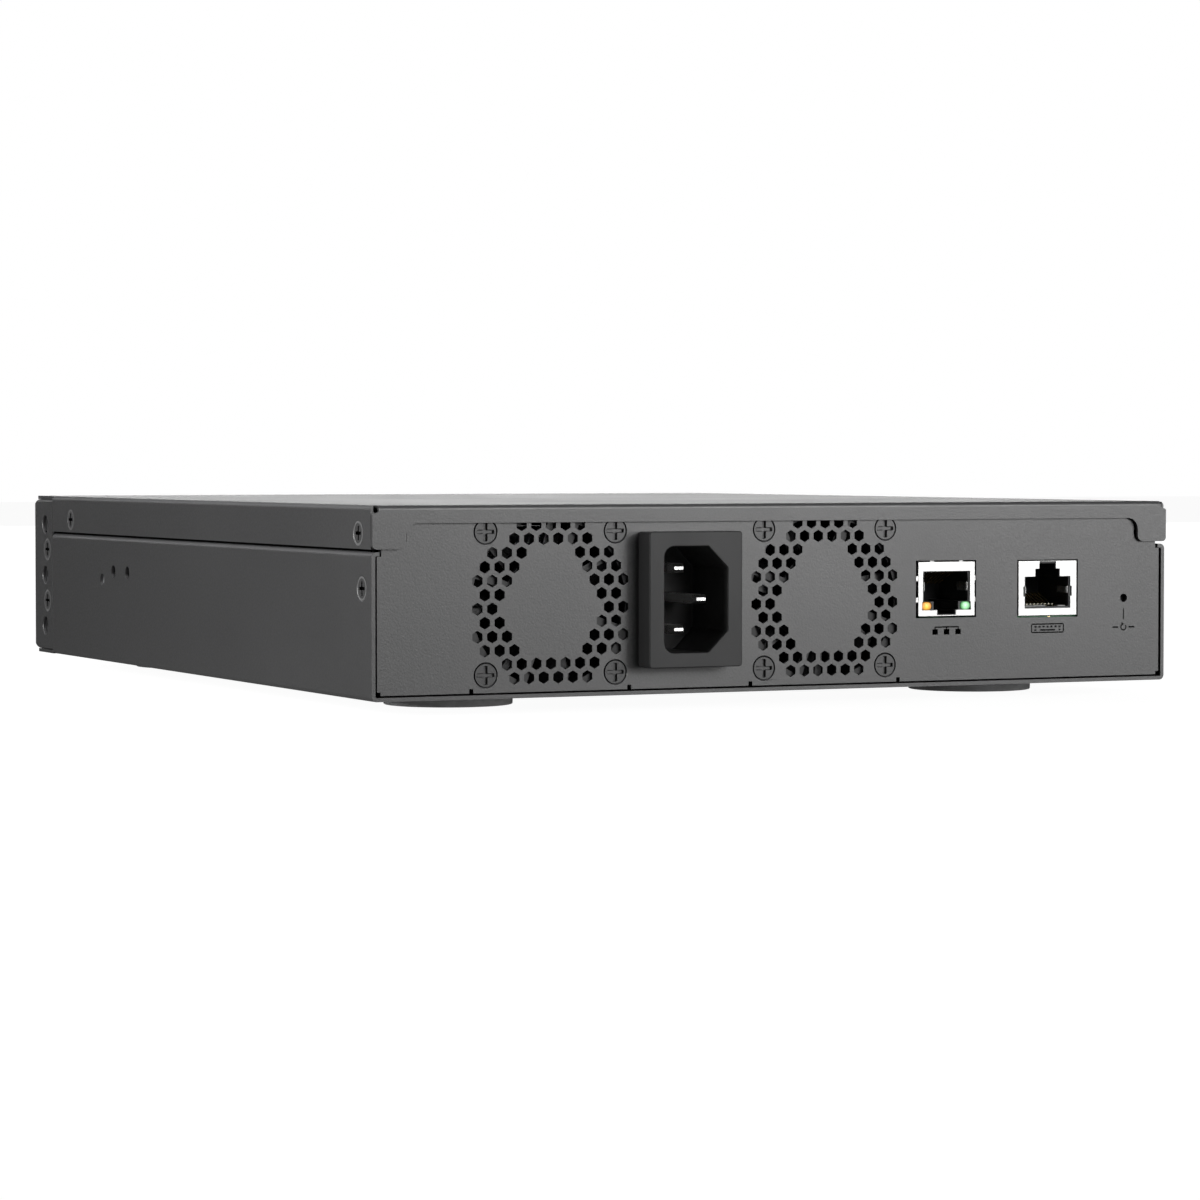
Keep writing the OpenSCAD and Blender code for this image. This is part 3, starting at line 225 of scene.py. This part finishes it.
def plated(name, colour, roughness=0.25, along=(1, 1, 1), streak=0.12, depth=0.0015):
    """Plated or rolled sheet: rolling lines along one direction, and faint clouding."""
    s = Shader(name)
    lines = s.noise(streak, 2, s.scaled(*along))
    cloud = s.noise(5, 3)
    s.set(
        Base_Color=s.tinted(s.blend(lines, 0.4, cloud), colour, 0.07),
        Metallic=1.0,
        Roughness=s.remap(s.math("ADD", lines, cloud), 0.7, 1.3, roughness - 0.06, roughness + 0.08),
        Normal=s.bump(lines, depth),
    )
    return s.material


def side_screws():
    """Place and head radius of each screw in a side, as (y, z, radius)."""
    low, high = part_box("cover_screws")
    radius = (high.z - low.z) / 2
    found = [(y, (low.z + high.z) / 2, radius) for y in (low.y + radius, high.y - radius)]
    low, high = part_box("rear_panel_screws")
    found.append(((low.y + high.y) / 2, (low.z + high.z) / 2, (high.z - low.z) / 2))
    low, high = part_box("front_panel_screws")
    radius = (high.y - low.y) / 2
    found += [((low.y + high.y) / 2, z, radius) for z in (low.z + radius, high.z - radius)]
    return found


def blackened_steel(name, colour):
    """Black-finished screws: a smooth skin, fine pits and slightly rubbed high spots.

    On the screws in the sides the rim of the head is painted lighter as a painted highlight, and the
    recess is painted black and unreflective as painted shade."""
    s = Shader(name)
    pits = s.noise(0.25, 3)
    rubbed_and_highlit = s.noise(0.9, 2)
    skin = s.mix(s.remap(rubbed_and_highlit, 0.5, 0.75, 0.0, 0.35), colour, [c * 1.6 for c in colour])
    outward = s.math("ABSOLUTE", s.part(0))
    on_side = s.above(outward, cad_high.x - 5 * MM)
    off = 1.0
    for y, z, radius in side_screws():
        off = s.math("MINIMUM", off, s.math("DIVIDE", s.radius_from(y, z), radius))
    # Painted highlight: the outer rim of each side screw's head gets a lighter colour
    rim_highlight = s.math("MULTIPLY", on_side, s.above(off, 0.82))
    flat = s.above(s.math("ABSOLUTE", s.facing(0)), 0.9)
    raised = s.math("MULTIPLY", s.above(outward, cad_high.x - 0.1 * MM), flat)
    # Painted shade: the recess of each side screw's head is painted black with no reflection
    recess_shade = s.math("MULTIPLY", on_side, s.math("LESS_THAN", s.math("MAXIMUM", raised, rim_highlight), 0.5))
    s.set(
        Base_Color=s.mix(recess_shade, s.mix(rim_highlight, skin, (0.11, 0.11, 0.11)), (0.002, 0.002, 0.002)),
        Roughness=s.remap(pits, 0.3, 0.7, 0.26, 0.4),
        Normal=s.bump(pits, 0.004),
        Specular_IOR_Level=s.remap(recess_shade, 0.0, 1.0, 0.7, 0.0),
    )
    return s.material


def rubber(name, colour):
    """Moulded rubber: a matt skin with light dust in patches."""
    s = Shader(name)
    skin = s.noise(0.35, 4)
    dust = s.noise(3.5, 3)
    s.set(
        Base_Color=s.mix(s.remap(dust, 0.45, 0.75, 0.0, 0.25), colour, [c * 1.9 for c in colour]),
        Roughness=s.remap(skin, 0.3, 0.7, 0.68, 0.85),
        Normal=s.bump(skin, 0.012),
        Sheen_Weight=0.15,
        Specular_IOR_Level=0.35,
    )
    return s.material


def solder_mask(name, colour):
    """Circuit board: mask over copper areas and square-cornered tracks, with plated holes."""
    s = Shader(name)
    regions = s.above(s.noise(14, 0), 0.5)
    tracks = s.cells(2.6, distance="MANHATTAN")
    track = s.math("LESS_THAN", s.math("PINGPONG", tracks, 0.16), 0.06)
    via_at = s.cells(3.4)
    via = s.math("LESS_THAN", via_at, 0.07)
    ring = s.math("LESS_THAN", via_at, 0.12)
    light = [c * 1.55 for c in colour]
    mask = s.mix(s.math("MAXIMUM", s.math("MULTIPLY", regions, 0.6), track), colour, light)
    pads = s.mix(ring, mask, (0.75, 0.6, 0.3))
    s.set(
        Base_Color=s.mix(via, pads, (0.02, 0.02, 0.02)),
        Metallic=s.math("SUBTRACT", ring, via),
        Roughness=s.remap(s.noise(0.8, 2), 0.3, 0.7, 0.28, 0.38),
        Normal=s.bump(s.math("MAXIMUM", regions, track), 0.03),
    )
    return s.material


def ferrite(name, colour):
    """Sintered core: gritty, with small chips."""
    s = Shader(name)
    grit = s.noise(0.25, 4)
    chips = s.cells(1.4)
    s.set(
        Base_Color=s.tinted(grit, colour, 0.35),
        Roughness=s.remap(chips, 0.0, 0.6, 0.55, 0.75),
        Normal=s.bump(grit, 0.015),
        Metallic=0.1,
    )
    return s.material


def winding(name, colour):
    """Enamelled wire laid side by side."""
    s = Shader(name)
    turns = s.stripes(0.45, "DIAGONAL", 0.6)
    s.set(
        Base_Color=s.tinted(turns, colour, 0.3),
        Metallic=0.85,
        Roughness=s.remap(s.noise(1.5, 2), 0.3, 0.7, 0.25, 0.4),
        Normal=s.bump(turns, 0.12),
        Coat_Weight=0.6,
        Coat_Roughness=0.15,
    )
    return s.material


def capacitor(name, sleeve, stripe, can_only=False):
    """Electrolytic capacitor: a printed sleeve with a bare brushed aluminium top."""
    s = Shader(name)
    metal = (0.72, 0.73, 0.75)
    top = s.above(s.facing(2), 0.8)
    band = s.above(s.facing(0), 0.86)
    side = s.mix(band, metal if can_only else sleeve, stripe)
    brushed = s.noise(0.3, 2)
    bare = 1.0 if can_only else top
    s.set(
        Base_Color=s.mix(top, side, s.tinted(brushed, metal, 0.1)),
        Metallic=bare,
        Roughness=s.remap(brushed, 0.3, 0.7, 0.22, 0.34),
        Normal=s.bump(brushed, 0.003),
    )
    return s.material


def wire_jacket(name, colour):
    """Wire insulation: soft plastic with scuffs."""
    s = Shader(name)
    scuff = s.noise(1.6, 3)
    s.set(
        Base_Color=s.tinted(scuff, colour, 0.18),
        Roughness=s.remap(scuff, 0.3, 0.7, 0.35, 0.5),
        Normal=s.bump(s.noise(0.4, 2), 0.01),
    )
    return s.material


def clear_moulding(name):
    """Light pipe: clear plastic whose roughness follows faint flow lines."""
    s = Shader(name)
    flow = s.noise(2, 2, s.scaled(1, 0.2, 1))
    s.set(
        Base_Color=s.tinted(flow, (0.88, 0.93, 0.94), 0.04),
        Transmission_Weight=0.85,
        IOR=1.49,
        Roughness=s.remap(flow, 0.3, 0.7, 0.12, 0.3),
        Normal=s.bump(flow, 0.01),
    )
    return s.material


def jack_lamps(name, box):
    """The two windows of the network jack, each brighter towards its middle: amber, then green."""
    s = Shader(name)
    low, high = box
    middle_x = (low.x + high.x) / 2
    window = 2.7 * MM
    off_x = s.math("SUBTRACT", s.apart(s.part(0), middle_x), (high.x - low.x - window) / 2)
    off_z = s.math("SUBTRACT", s.part(2), (low.z + high.z) / 2)
    reach = s.math("SQRT", s.math("ADD", s.math("POWER", off_x, 2.0), s.math("POWER", off_z, 2.0)))
    uneven = s.math("MULTIPLY_ADD", s.noise(0.7, 2), 0.3 * MM, reach)
    core = s.remap(uneven, 0.25 * MM, 1.45 * MM, 1.0, 0.0)
    amber_side = s.above(s.part(0), middle_x)
    deep = s.mix(amber_side, (0.05, 0.3, 0.07), (0.62, 0.2, 0.01))
    bright = s.mix(amber_side, (0.55, 1.0, 0.6), (1.0, 0.62, 0.08))
    s.set(
        Base_Color=s.mix(core, deep, bright),
        Roughness=s.remap(core, 0.0, 1.0, 0.3, 0.16),
        Normal=s.bump(core, 0.05),
        Emission_Color=s.mix(core, deep, bright),
        Emission_Strength=s.remap(core, 0.0, 1.0, 0.35, 0.95),
        Coat_Weight=0.5,
    )
    return s.material


def chip_package(name, colour):
    """Moulded epoxy with sparkling filler grit."""
    s = Shader(name)
    grit = s.noise(0.15, 3)
    s.set(
        Base_Color=s.tinted(grit, colour, 0.3),
        Roughness=s.remap(grit, 0.3, 0.7, 0.5, 0.65),
        Normal=s.bump(grit, 0.008),
    )
    return s.material


def lidded_chip(name, split_z):
    """A nickel lid above a green substrate."""
    s = Shader(name)
    lid = s.above(s.part(2), split_z)
    lines = s.noise(0.2, 2, s.scaled(1, 0.05, 1))
    s.set(
        Base_Color=s.mix(lid, (0.02, 0.11, 0.05), s.tinted(lines, (0.62, 0.62, 0.6), 0.08)),
        Metallic=lid,
        Roughness=s.remap(lines, 0.3, 0.7, 0.28, 0.42),
        Normal=s.bump(lines, 0.003),
    )
    return s.material


def wound_transformer(name, box):
    """Dark ferrite core with yellow polyester tape where the bobbin stands out at both ends."""
    s = Shader(name)
    low, high = box
    inset = 3.0 * MM
    beyond = s.apart(s.part(1), (low.y + high.y) / 2)
    tape = s.above(beyond, (high.y - low.y) / 2 - inset)
    grit = s.noise(0.3, 3)
    core = s.tinted(grit, (0.06, 0.055, 0.05), 0.3)
    s.set(
        Base_Color=s.mix(tape, core, s.tinted(grit, (0.72, 0.5, 0.06), 0.1)),
        Roughness=s.remap(tape, 0.0, 1.0, 0.62, 0.3),
        Normal=s.bump(grit, 0.012),
    )
    return s.material


def flat_cable(name):
    """Ribbon cable: pale insulation over cores laid side by side."""
    s = Shader(name)
    cores = s.stripes(1.0, "X")
    s.set(
        Base_Color=s.tinted(cores, (0.72, 0.72, 0.7), 0.2),
        Roughness=s.remap(s.noise(1.2, 2), 0.3, 0.7, 0.35, 0.45),
        Normal=s.bump(cores, 0.15),
    )
    return s.material


def printed_ink(name, colour):
    """Screen-printed marks: slightly uneven ink that follows the paint's grain."""
    s = Shader(name)
    grain = s.noise(0.42, 3)
    s.set(
        Base_Color=s.tinted(grain, colour, 0.25),
        Roughness=s.remap(grain, 0.3, 0.7, 0.5, 0.65),
        Normal=s.bump(grain, 0.012),
    )
    return s.material


paint = (0.02, 0.02, 0.0205)
nickel = (0.9, 0.9, 0.885)
lid_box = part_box("switch_chip")

MATERIALS = {
    "case_paint": powder_coat("case_paint", paint),
    "screw_black": blackened_steel("screw_black", (0.03, 0.03, 0.0305)),
    "nut_zinc": plated("nut_zinc", (0.68, 0.69, 0.7), 0.3),
    "foot_rubber": rubber("foot_rubber", (0.52, 0.52, 0.525)),
    "fan_plastic": moulded("fan_plastic", (0.012, 0.012, 0.0125), 0.5),
    "rotor_plastic": moulded("rotor_plastic", (0.03, 0.03, 0.031), 0.26, 0.5, 0.003),
    "shaft_steel": plated("shaft_steel", (0.72, 0.72, 0.74), 0.2, (1, 0.1, 1)),
    "magnet": ferrite("magnet", (0.07, 0.066, 0.06)),
    "bearing_bronze": plated("bearing_bronze", (0.6, 0.42, 0.2), 0.4),
    "winding": winding("winding", (0.6, 0.27, 0.1)),
    "wire_black": wire_jacket("wire_black", (0.025, 0.025, 0.026)),
    "wire_brown": wire_jacket("wire_brown", (0.16, 0.07, 0.03)),
    "wire_red": wire_jacket("wire_red", (0.5, 0.04, 0.03)),
    "inlet_plastic": moulded("inlet_plastic", (0.032, 0.032, 0.0325), 0.42, 0.3, 0.004, 0.32),
    "pin_nickel": plated("pin_nickel", (0.88, 0.88, 0.86), 0.3, (1, 0.15, 1), 0.2, 0.0004),
    "psu_pcb": solder_mask("psu_pcb", (0.03, 0.12, 0.035)),
    "insulator_film": moulded("insulator_film", (0.02, 0.02, 0.021), 0.35, 2.0, 0.01),
    "ferrite": wound_transformer("ferrite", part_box("psu_transformer")),
    "capacitor_sleeve": capacitor("capacitor_sleeve", (0.015, 0.03, 0.1), (0.6, 0.62, 0.66)),
    "sink_aluminium": plated("sink_aluminium", (0.78, 0.79, 0.8), 0.3, (1, 0.06, 1), 0.18, 0.004),
    "chip_epoxy": chip_package("chip_epoxy", (0.022, 0.022, 0.024)),
    "film_capacitor": moulded("film_capacitor", (0.62, 0.42, 0.04), 0.25, 0.8, 0.004),
    "main_pcb": solder_mask("main_pcb", (0.01, 0.13, 0.035)),
    "chip_lid": lidded_chip("chip_lid", lid_box[0].z + 1.55 * MM),
    "push_pin": plated("push_pin", (0.72, 0.52, 0.2), 0.3),
    "inductor": ferrite("inductor", (0.14, 0.135, 0.13)),
    "capacitor_can": capacitor("capacitor_can", nickel, (0.05, 0.05, 0.06), True),
    "header_nylon": moulded("header_nylon", (0.82, 0.79, 0.7), 0.4),
    "cage_steel": plated("cage_steel", (0.78, 0.78, 0.77), 0.26, (1, 0.08, 1)),
    "connector_black": moulded("connector_black", (0.012, 0.012, 0.013), 0.35),
    "light_pipe": clear_moulding("light_pipe"),
    "ribbon": flat_cable("ribbon"),
    "jack_steel": plated("jack_steel", (0.5, 0.5, 0.492), 0.3, (0.1, 1, 1)),
    "led_window": jack_lamps("led_window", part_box("mgmt_jack_leds")),
    "contact_gold": plated("contact_gold", (0.9, 0.66, 0.26), 0.2, (1, 0.1, 1)),
}


def dress_nodes():
    """Gives every CAD node the built material of its record slot."""
    for name, node in nodes.items():
        for slot in node.material_slots:
            slot.material = MATERIALS[slot.material.name.split(".")[0]]


# ---------- broken edges ----------

# Width of the broken edge on each node; zero leaves it sharp, and the rest take the default
DEFAULT_EDGE = 0.1
EDGES = {
    "rear_panel": 0, "rubber_feet": 0, "front_panel": 0.08,
    "inlet_body": 0.22, "inlet_pins": 0.05,
    "mgmt_jack_shield": 0.05, "console_jack_shield": 0.05,
    "mgmt_jack_insert": 0.08, "console_jack_insert": 0.12, "mgmt_jack_leds": 0.2,
    "sfp_cage": 0.05, "qsfp_cage": 0.05,
    "cover_screws": 0.06, "rear_panel_screws": 0.06, "front_panel_screws": 0.06,
    "psu_bulk_capacitors": 0.7, "psu_output_capacitors": 0.5, "board_capacitors": 0.4,
    "psu_transformer": 0.4, "psu_film_capacitors": 0.5, "power_inductors": 0.5,
    "io_ribbon": 0.05,
}
# Round wires and wound rings have no edge worth breaking
UNBROKEN = {"fan_cables", "inlet_wires", "dc_harness", "jack_contacts", "psu_filter_chokes"}
# Blocks, cans and moulded frames are merged into whole faces first
WHOLE_FACED = {
    "board_capacitors", "psu_bulk_capacitors", "psu_output_capacitors", "power_inductors",
    "mgmt_jack_leds", "inlet_pins", "psu_film_capacitors", "support_chips", "port_light_pipes",
    "rubber_feet", "reset_plunger", "wire_headers", "psu_transistors", "inlet_body",
    "fan_1_frame", "fan_2_frame",
}
# Folded sheet and fins, where an edge wider than its neighbours would shoot past a corner
TIGHT = {"chassis_base", "top_cover", "psu_heatsinks", "switch_heatsink"}


def break_edges():
    """Welds each CAD mesh and rounds its sharp edges, all as modifiers."""
    for name, node in nodes.items():
        if name in UNBROKEN:
            continue
        weld = node.modifiers.new("weld", "WELD")
        weld.merge_threshold = 0.001 * MM
        if name in WHOLE_FACED:
            flat = node.modifiers.new("flat", "DECIMATE")
            flat.decimate_type = "DISSOLVE"
            flat.angle_limit = math.radians(0.4)
        width = EDGES.get(name, DEFAULT_EDGE)
        if width:
            edge = node.modifiers.new("edge", "BEVEL")
            edge.width = width * MM
            edge.segments = 2
            edge.limit_method = "ANGLE"
            edge.angle_limit = math.radians(38)
            edge.use_clamp_overlap = name in TIGHT
            edge.loop_slide = False
            edge.miter_outer = "MITER_ARC"
        shade = node.modifiers.new("shade", "WEIGHTED_NORMAL")
        shade.keep_sharp = True
        shade.weight = 60


# ---------- mesh helpers for pieces that only the looks need ----------

def finish_piece(name, bm, material):
    """Turns a bmesh in the frame's coordinates into a piece that rides on the case."""
    bmesh.ops.recalc_face_normals(bm, faces=bm.faces)
    mesh = bpy.data.meshes.new(name)
    bm.to_mesh(mesh)
    bm.free()
    mesh.materials.append(material)
    piece = bpy.data.objects.new(name, mesh)
    bpy.context.scene.collection.objects.link(piece)
    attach(piece, "case")
    return piece


def rounded(piece, width):
    """Rounds a piece's edges with a bevel of the given width."""
    edge = piece.modifiers.new("edge", "BEVEL")
    edge.width = width * MM
    edge.segments = 2
    edge.limit_method = "ANGLE"
    edge.angle_limit = math.radians(40)


def raised_outline(bm, points, origin, right, up, thick):
    """A flat outline, standing thick proud of origin, in the plane of right and up."""
    out = right.cross(up) * -thick
    loops = []
    for lift in (Vector(), out):
        loops.append([bm.verts.new(origin + right * x * MM + up * z * MM + lift) for x, z in points])
    count = len(points)
    bm.faces.new(loops[0][::-1])
    bm.faces.new(loops[1])
    for i in range(count):
        j = (i + 1) % count
        bm.faces.new((loops[0][i], loops[0][j], loops[1][j], loops[1][i]))


def bar(cx, cz, w, h):
    """Outline of a bar by its centre, width and height."""
    left, right = cx - w / 2, cx + w / 2
    low, high = cz - h / 2, cz + h / 2
    return [(left, low), (right, low), (right, high), (left, high)]


def arc_points(r, start, stop):
    """Points of an arc about zero, between two angles in degrees."""
    steps = 24
    angles = [math.radians(start + (stop - start) * i / steps) for i in range(steps + 1)]
    return [(r * math.cos(a), r * math.sin(a)) for a in angles]


def ring_sector(r, width, start, stop):
    """Outline of an open ring about zero, between two angles in degrees."""
    return arc_points(r + width / 2, start, stop) + arc_points(r - width / 2, stop, start)


def network_sign():
    """Three boxes hung from one line: a wired network."""
    line = 0.32
    spread = 3.14
    shapes = [bar(0, 0.78, 2 * spread + line, line)]
    for x in (-spread, 0, spread):
        shapes.append(bar(x, 0.46, line, 0.36))
        shapes.append(bar(x, -0.36, 1.5, 1.28))
    return shapes


def keyboard_sign():
    """A keyboard's outline with seven keys, a space bar and a key on each side of it."""
    line = 0.3
    w = 8.9
    h = 2.0
    pitch = 1.12
    low_row = -0.42
    shapes = [bar(0, z, w, line) for z in (h / 2, -h / 2)]
    shapes += [bar(x, 0, line, h - line) for x in (-w / 2, w / 2)]
    shapes.append(bar(0, low_row, 4.2, 0.36))
    for i in range(-3, 4):
        shapes.append(bar(i * pitch, 0.36, 0.6, 0.42))
    for i in (-3, 3):
        shapes.append(bar(i * pitch, low_row, 0.6, 0.36))
    return shapes


def restart_sign():
    """An open ring with an arrow head between two dashes: start again."""
    arrow_head = [(-0.58, 1.2), (-0.58, 0.24), (0.2, 0.72)]
    dashes = [bar(x, 0, 1.7, 0.36) for x in (-2.3, 2.3)]
    return [ring_sector(0.72, 0.3, 120, 400), arrow_head, *dashes]


def print_marks():
    """Printed signs on the rear panel, below each jack and the reset hole."""
    ink = printed_ink("print_ink", (0.028, 0.028, 0.029))
    proud = 0.02 * MM
    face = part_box("rear_panel")[1].y
    right = Vector((-1, 0, 0))
    up = Vector((0, 0, 1))
    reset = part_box("reset_plunger")
    # The shapes, the box they are centred under, and how high above its foot they sit
    places = {
        "network_sign": (network_sign(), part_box("mgmt_jack_insert"), -3.7),
        "keyboard_sign": (keyboard_sign(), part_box("console_jack_insert"), -3.4),
        "restart_sign": (restart_sign(), reset, -5.45),
        "reset_leader": ([bar(0, 0, 0.28, 2.7)], reset, -2.3),
    }
    for name, (shapes, (low, high), lift) in places.items():
        origin = Vector(((low.x + high.x) / 2, face, low.z + lift * MM))
        bm = bmesh.new()
        for points in shapes:
            raised_outline(bm, points, origin, right, up, proud)
        finish_piece(name, bm, ink)


# ---------- small parts inside the two jacks ----------
# Places in a jack's mouth are given from its middle, behind its front and above its foot

def mouth_block(bm, box, across, behind, above):
    """A block in a jack's mouth, given by its three ranges."""
    low, high = box
    middle = (low.x + high.x) / 2
    xs = [middle + value * MM for value in across]
    ys = [high.y - value * MM for value in reversed(behind)]
    zs = [low.z + value * MM for value in above]
    for vert in bmesh.ops.create_cube(bm, size=1.0)["verts"]:
        share = vert.co + Vector((0.5, 0.5, 0.5))
        vert.co = [ends[0] + share[i] * (ends[1] - ends[0]) for i, ends in enumerate((xs, ys, zs))]


def sprung_leaf(bm, wall_x, inward, front_y, z_range):
    """A thin leaf on a side wall of a mouth: it bows inward behind its front edge."""
    # Depth behind the front, and the share of the full bow there
    stations = ((0.1, 0.0), (0.5, 0.5), (1.3, 0.95), (2.4, 1.0), (3.6, 0.7), (4.8, 0.0))
    bow = 0.34
    thick = 0.16
    clear = 0.02
    rings = []
    for depth, share in stations:
        near = wall_x + inward * (clear + bow * share) * MM
        far = near + inward * thick * MM
        y = front_y - depth * MM
        corners = [(near, z_range[0]), (far, z_range[0]), (far, z_range[1]), (near, z_range[1])]
        rings.append([bm.verts.new((x, y, z)) for x, z in corners])
    for ahead, behind in zip(rings, rings[1:]):
        for i in range(4):
            j = (i + 1) % 4
            bm.faces.new((ahead[i], ahead[j], behind[j], behind[i]))
    bm.faces.new(rings[0][::-1])
    bm.faces.new(rings[-1])


def side_leaves(name, box, bottom, top):
    """A sprung leaf on each side wall of a jack's mouth, between two heights."""
    half_mouth = 5.95 * MM
    low, high = box
    middle = (low.x + high.x) / 2
    bm = bmesh.new()
    for side in (-1, 1):
        z_range = (low.z + bottom * MM, low.z + top * MM)
        sprung_leaf(bm, middle + side * half_mouth, -side, high.y, z_range)
    rounded(finish_piece(name, bm, MATERIALS["jack_steel"]), 0.05)


def contact_tips(box):
    """The ends of the console jack's eight contacts, over the lower lip of its mouth."""
    pitch = 1.02
    half_width = 0.23
    bm = bmesh.new()
    for i in range(8):
        x = (i - 3.5) * pitch
        mouth_block(bm, box, (x - half_width, x + half_width), (3.2, 3.9), (2.05, 2.4))
    metal = plated("contact_tip", (0.95, 0.9, 0.76), 0.35, (1, 0.3, 1), 0.2, 0.001)
    rounded(finish_piece("console_contact_tips", bm, metal), 0.12)


def mouth_ledge(box):
    """Two stretches of pale ledge along the lower edge of the console jack's mouth."""
    bm = bmesh.new()
    for across, depth in (((0.2, 5.9), 2.6), ((-5.3, -3.2), 2.0)):
        mouth_block(bm, box, across, (0.3, depth), (1.8, 2.02))
    plastic = moulded("ledge_plastic", (0.5, 0.5, 0.48), 0.5, 0.3, 0.004)
    rounded(finish_piece("console_mouth_ledge", bm, plastic), 0.08)


def jack_details():
    """Sprung leaves, contact tips and a ledge in the mouths of the jacks."""
    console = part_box("console_jack_insert")
    side_leaves("console_leaves", console, 4.95, 6.6)
    contact_tips(console)
    mouth_ledge(console)
    side_leaves("mgmt_leaves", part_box("mgmt_jack_insert"), 5.6, 7.7)


# ---------- gaskets round the port cages ----------

def port_gaskets():
    """Sprung metal gaskets that close the gaps between the port cages and the front panel."""
    # How far each point of the rolled section is off the cage, and behind the cage's mouth
    section = ((0.02, 0.1), (0.2, 0.1), (0.28, 0.5), (0.28, 2.6), (0.16, 3.0), (0.02, 3.0))
    bm = bmesh.new()
    for cage in ("sfp_cage", "qsfp_cage"):
        low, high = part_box(cage)
        rings = []
        for spread, back in section:
            off = spread * MM
            y = low.y + back * MM
            corners = [(low.x - off, low.z - off), (high.x + off, low.z - off)]
            corners += [(high.x + off, high.z + off), (low.x - off, high.z + off)]
            rings.append([bm.verts.new((x, y, z)) for x, z in corners])
        for i, ring in enumerate(rings):
            after = rings[(i + 1) % len(rings)]
            for j in range(4):
                k = (j + 1) % 4
                bm.faces.new((ring[j], ring[k], after[k], after[j]))
    finish_piece("port_gaskets", bm, MATERIALS["jack_steel"])


# ---------- studio ----------

# How brightly the surroundings and the floor shine on the object; white to the camera is 1
WORLD_GLOW = 0.01
FLOOR_GLOW = 0.08

# Name, place and size in metres, and power in watts, of each lamp; all are aimed at one point
LAMP_AIM = Vector((0, 0.05, 0.02))
LAMPS = (
    ("key_left", (-0.9, 1.3, 0.15), (0.8, 0.5), 6.7),
    ("key_right", (-0.3, 0.9, 0.3), (0.6, 0.3), 3.5),
    ("backdrop", (-0.6, -2.2, 0.25), (2.0, 0.4), 11.5),
    ("high_back", (0.0, -0.9, 1.1), (1.6, 0.8), 3.5),
    ("side", (0.45, 0.08, 0.12), (0.2, 0.15), 2.0),
)


def world_light():
    """White behind the object for the camera; a dim even light for the object."""
    world = bpy.data.worlds.new("studio")
    bpy.context.scene.world = world
    world.use_nodes = True
    tree = world.node_tree
    tree.nodes.clear()
    seen = tree.nodes.new("ShaderNodeLightPath")
    level = tree.nodes.new("ShaderNodeMapRange")
    # Sockets 3 and 4 are the values for other rays and for the camera's
    level.inputs[3].default_value = WORLD_GLOW
    level.inputs[4].default_value = 1.0
    light = tree.nodes.new("ShaderNodeBackground")
    light.inputs[0].default_value = (1, 1, 1, 1)
    out = tree.nodes.new("ShaderNodeOutputWorld")
    tree.links.new(seen.outputs["Is Camera Ray"], level.inputs[0])
    tree.links.new(level.outputs[0], light.inputs[1])
    tree.links.new(light.outputs[0], out.inputs[0])


def soft_light(name, place, size, power):
    """A rectangular lamp that the camera doesn't see, aimed at the object."""
    lamp = bpy.data.lights.new(name, "AREA")
    lamp.shape = "RECTANGLE"
    lamp.size, lamp.size_y = size
    lamp.energy = power
    obj = bpy.data.objects.new(name, lamp)
    obj.location = place
    obj.rotation_euler = (LAMP_AIM - Vector(place)).to_track_quat("-Z", "Y").to_euler()
    obj.visible_camera = False
    bpy.context.scene.collection.objects.link(obj)


def floor():
    """A pale floor. Seen directly it runs into the white behind it; to the object it is plain."""
    s = Shader("floor_pale")
    seen = s.add("ShaderNodeLightPath", "Is Camera Ray")
    blotch = s.noise(400, 2)
    s.set(
        Base_Color=s.mix(seen, s.tinted(blotch, (0.2, 0.2, 0.2), 0.01), (0.12, 0.12, 0.12)),
        Roughness=0.9,
        Specular_IOR_Level=0.1,
        Emission_Color=(1.0, 1.0, 1.0),
        Emission_Strength=s.remap(seen, 0.0, 1.0, FLOOR_GLOW, 0.955),
    )
    # Half the floor's width, in metres
    half = 4.0
    mesh = bpy.data.meshes.new("floor")
    corners = [(-half, -half, 0), (half, -half, 0), (half, half, 0), (-half, half, 0)]
    mesh.from_pydata(corners, [], [(0, 1, 2, 3)])
    mesh.materials.append(s.material)
    plane = bpy.data.objects.new("floor", mesh)
    bpy.context.scene.collection.objects.link(plane)
    plane.location.z = cad_low.z - 0.05 * MM


def camera():
    """Low three-quarter view of the rear, from the side of the mains inlet."""
    place = Vector((416.93, 903.95, 56.66)) * MM
    yaw = math.radians(25.283)
    pitch = math.radians(2.107)
    level = math.cos(pitch)
    ahead = Vector((-math.sin(yaw) * level, -math.cos(yaw) * level, -math.sin(pitch)))
    data = bpy.data.cameras.new("camera")
    data.sensor_width = 36
    data.lens = 114.9
    data.clip_start = 0.01
    data.clip_end = 50
    obj = bpy.data.objects.new("camera", data)
    obj.location = place
    obj.rotation_mode = "QUATERNION"
    obj.rotation_quaternion = ahead.to_track_quat("-Z", "Y")
    bpy.context.scene.collection.objects.link(obj)
    bpy.context.scene.camera = obj


def studio():
    """White surroundings, the floor, the camera and the lamps."""
    bpy.context.scene.view_settings.view_transform = "Standard"
    world_light()
    floor()
    camera()
    for lamp in LAMPS:
        soft_light(*lamp)


dress_nodes()
break_edges()
print_marks()
jack_details()
port_gaskets()
studio()

bpy.context.view_layer.update()
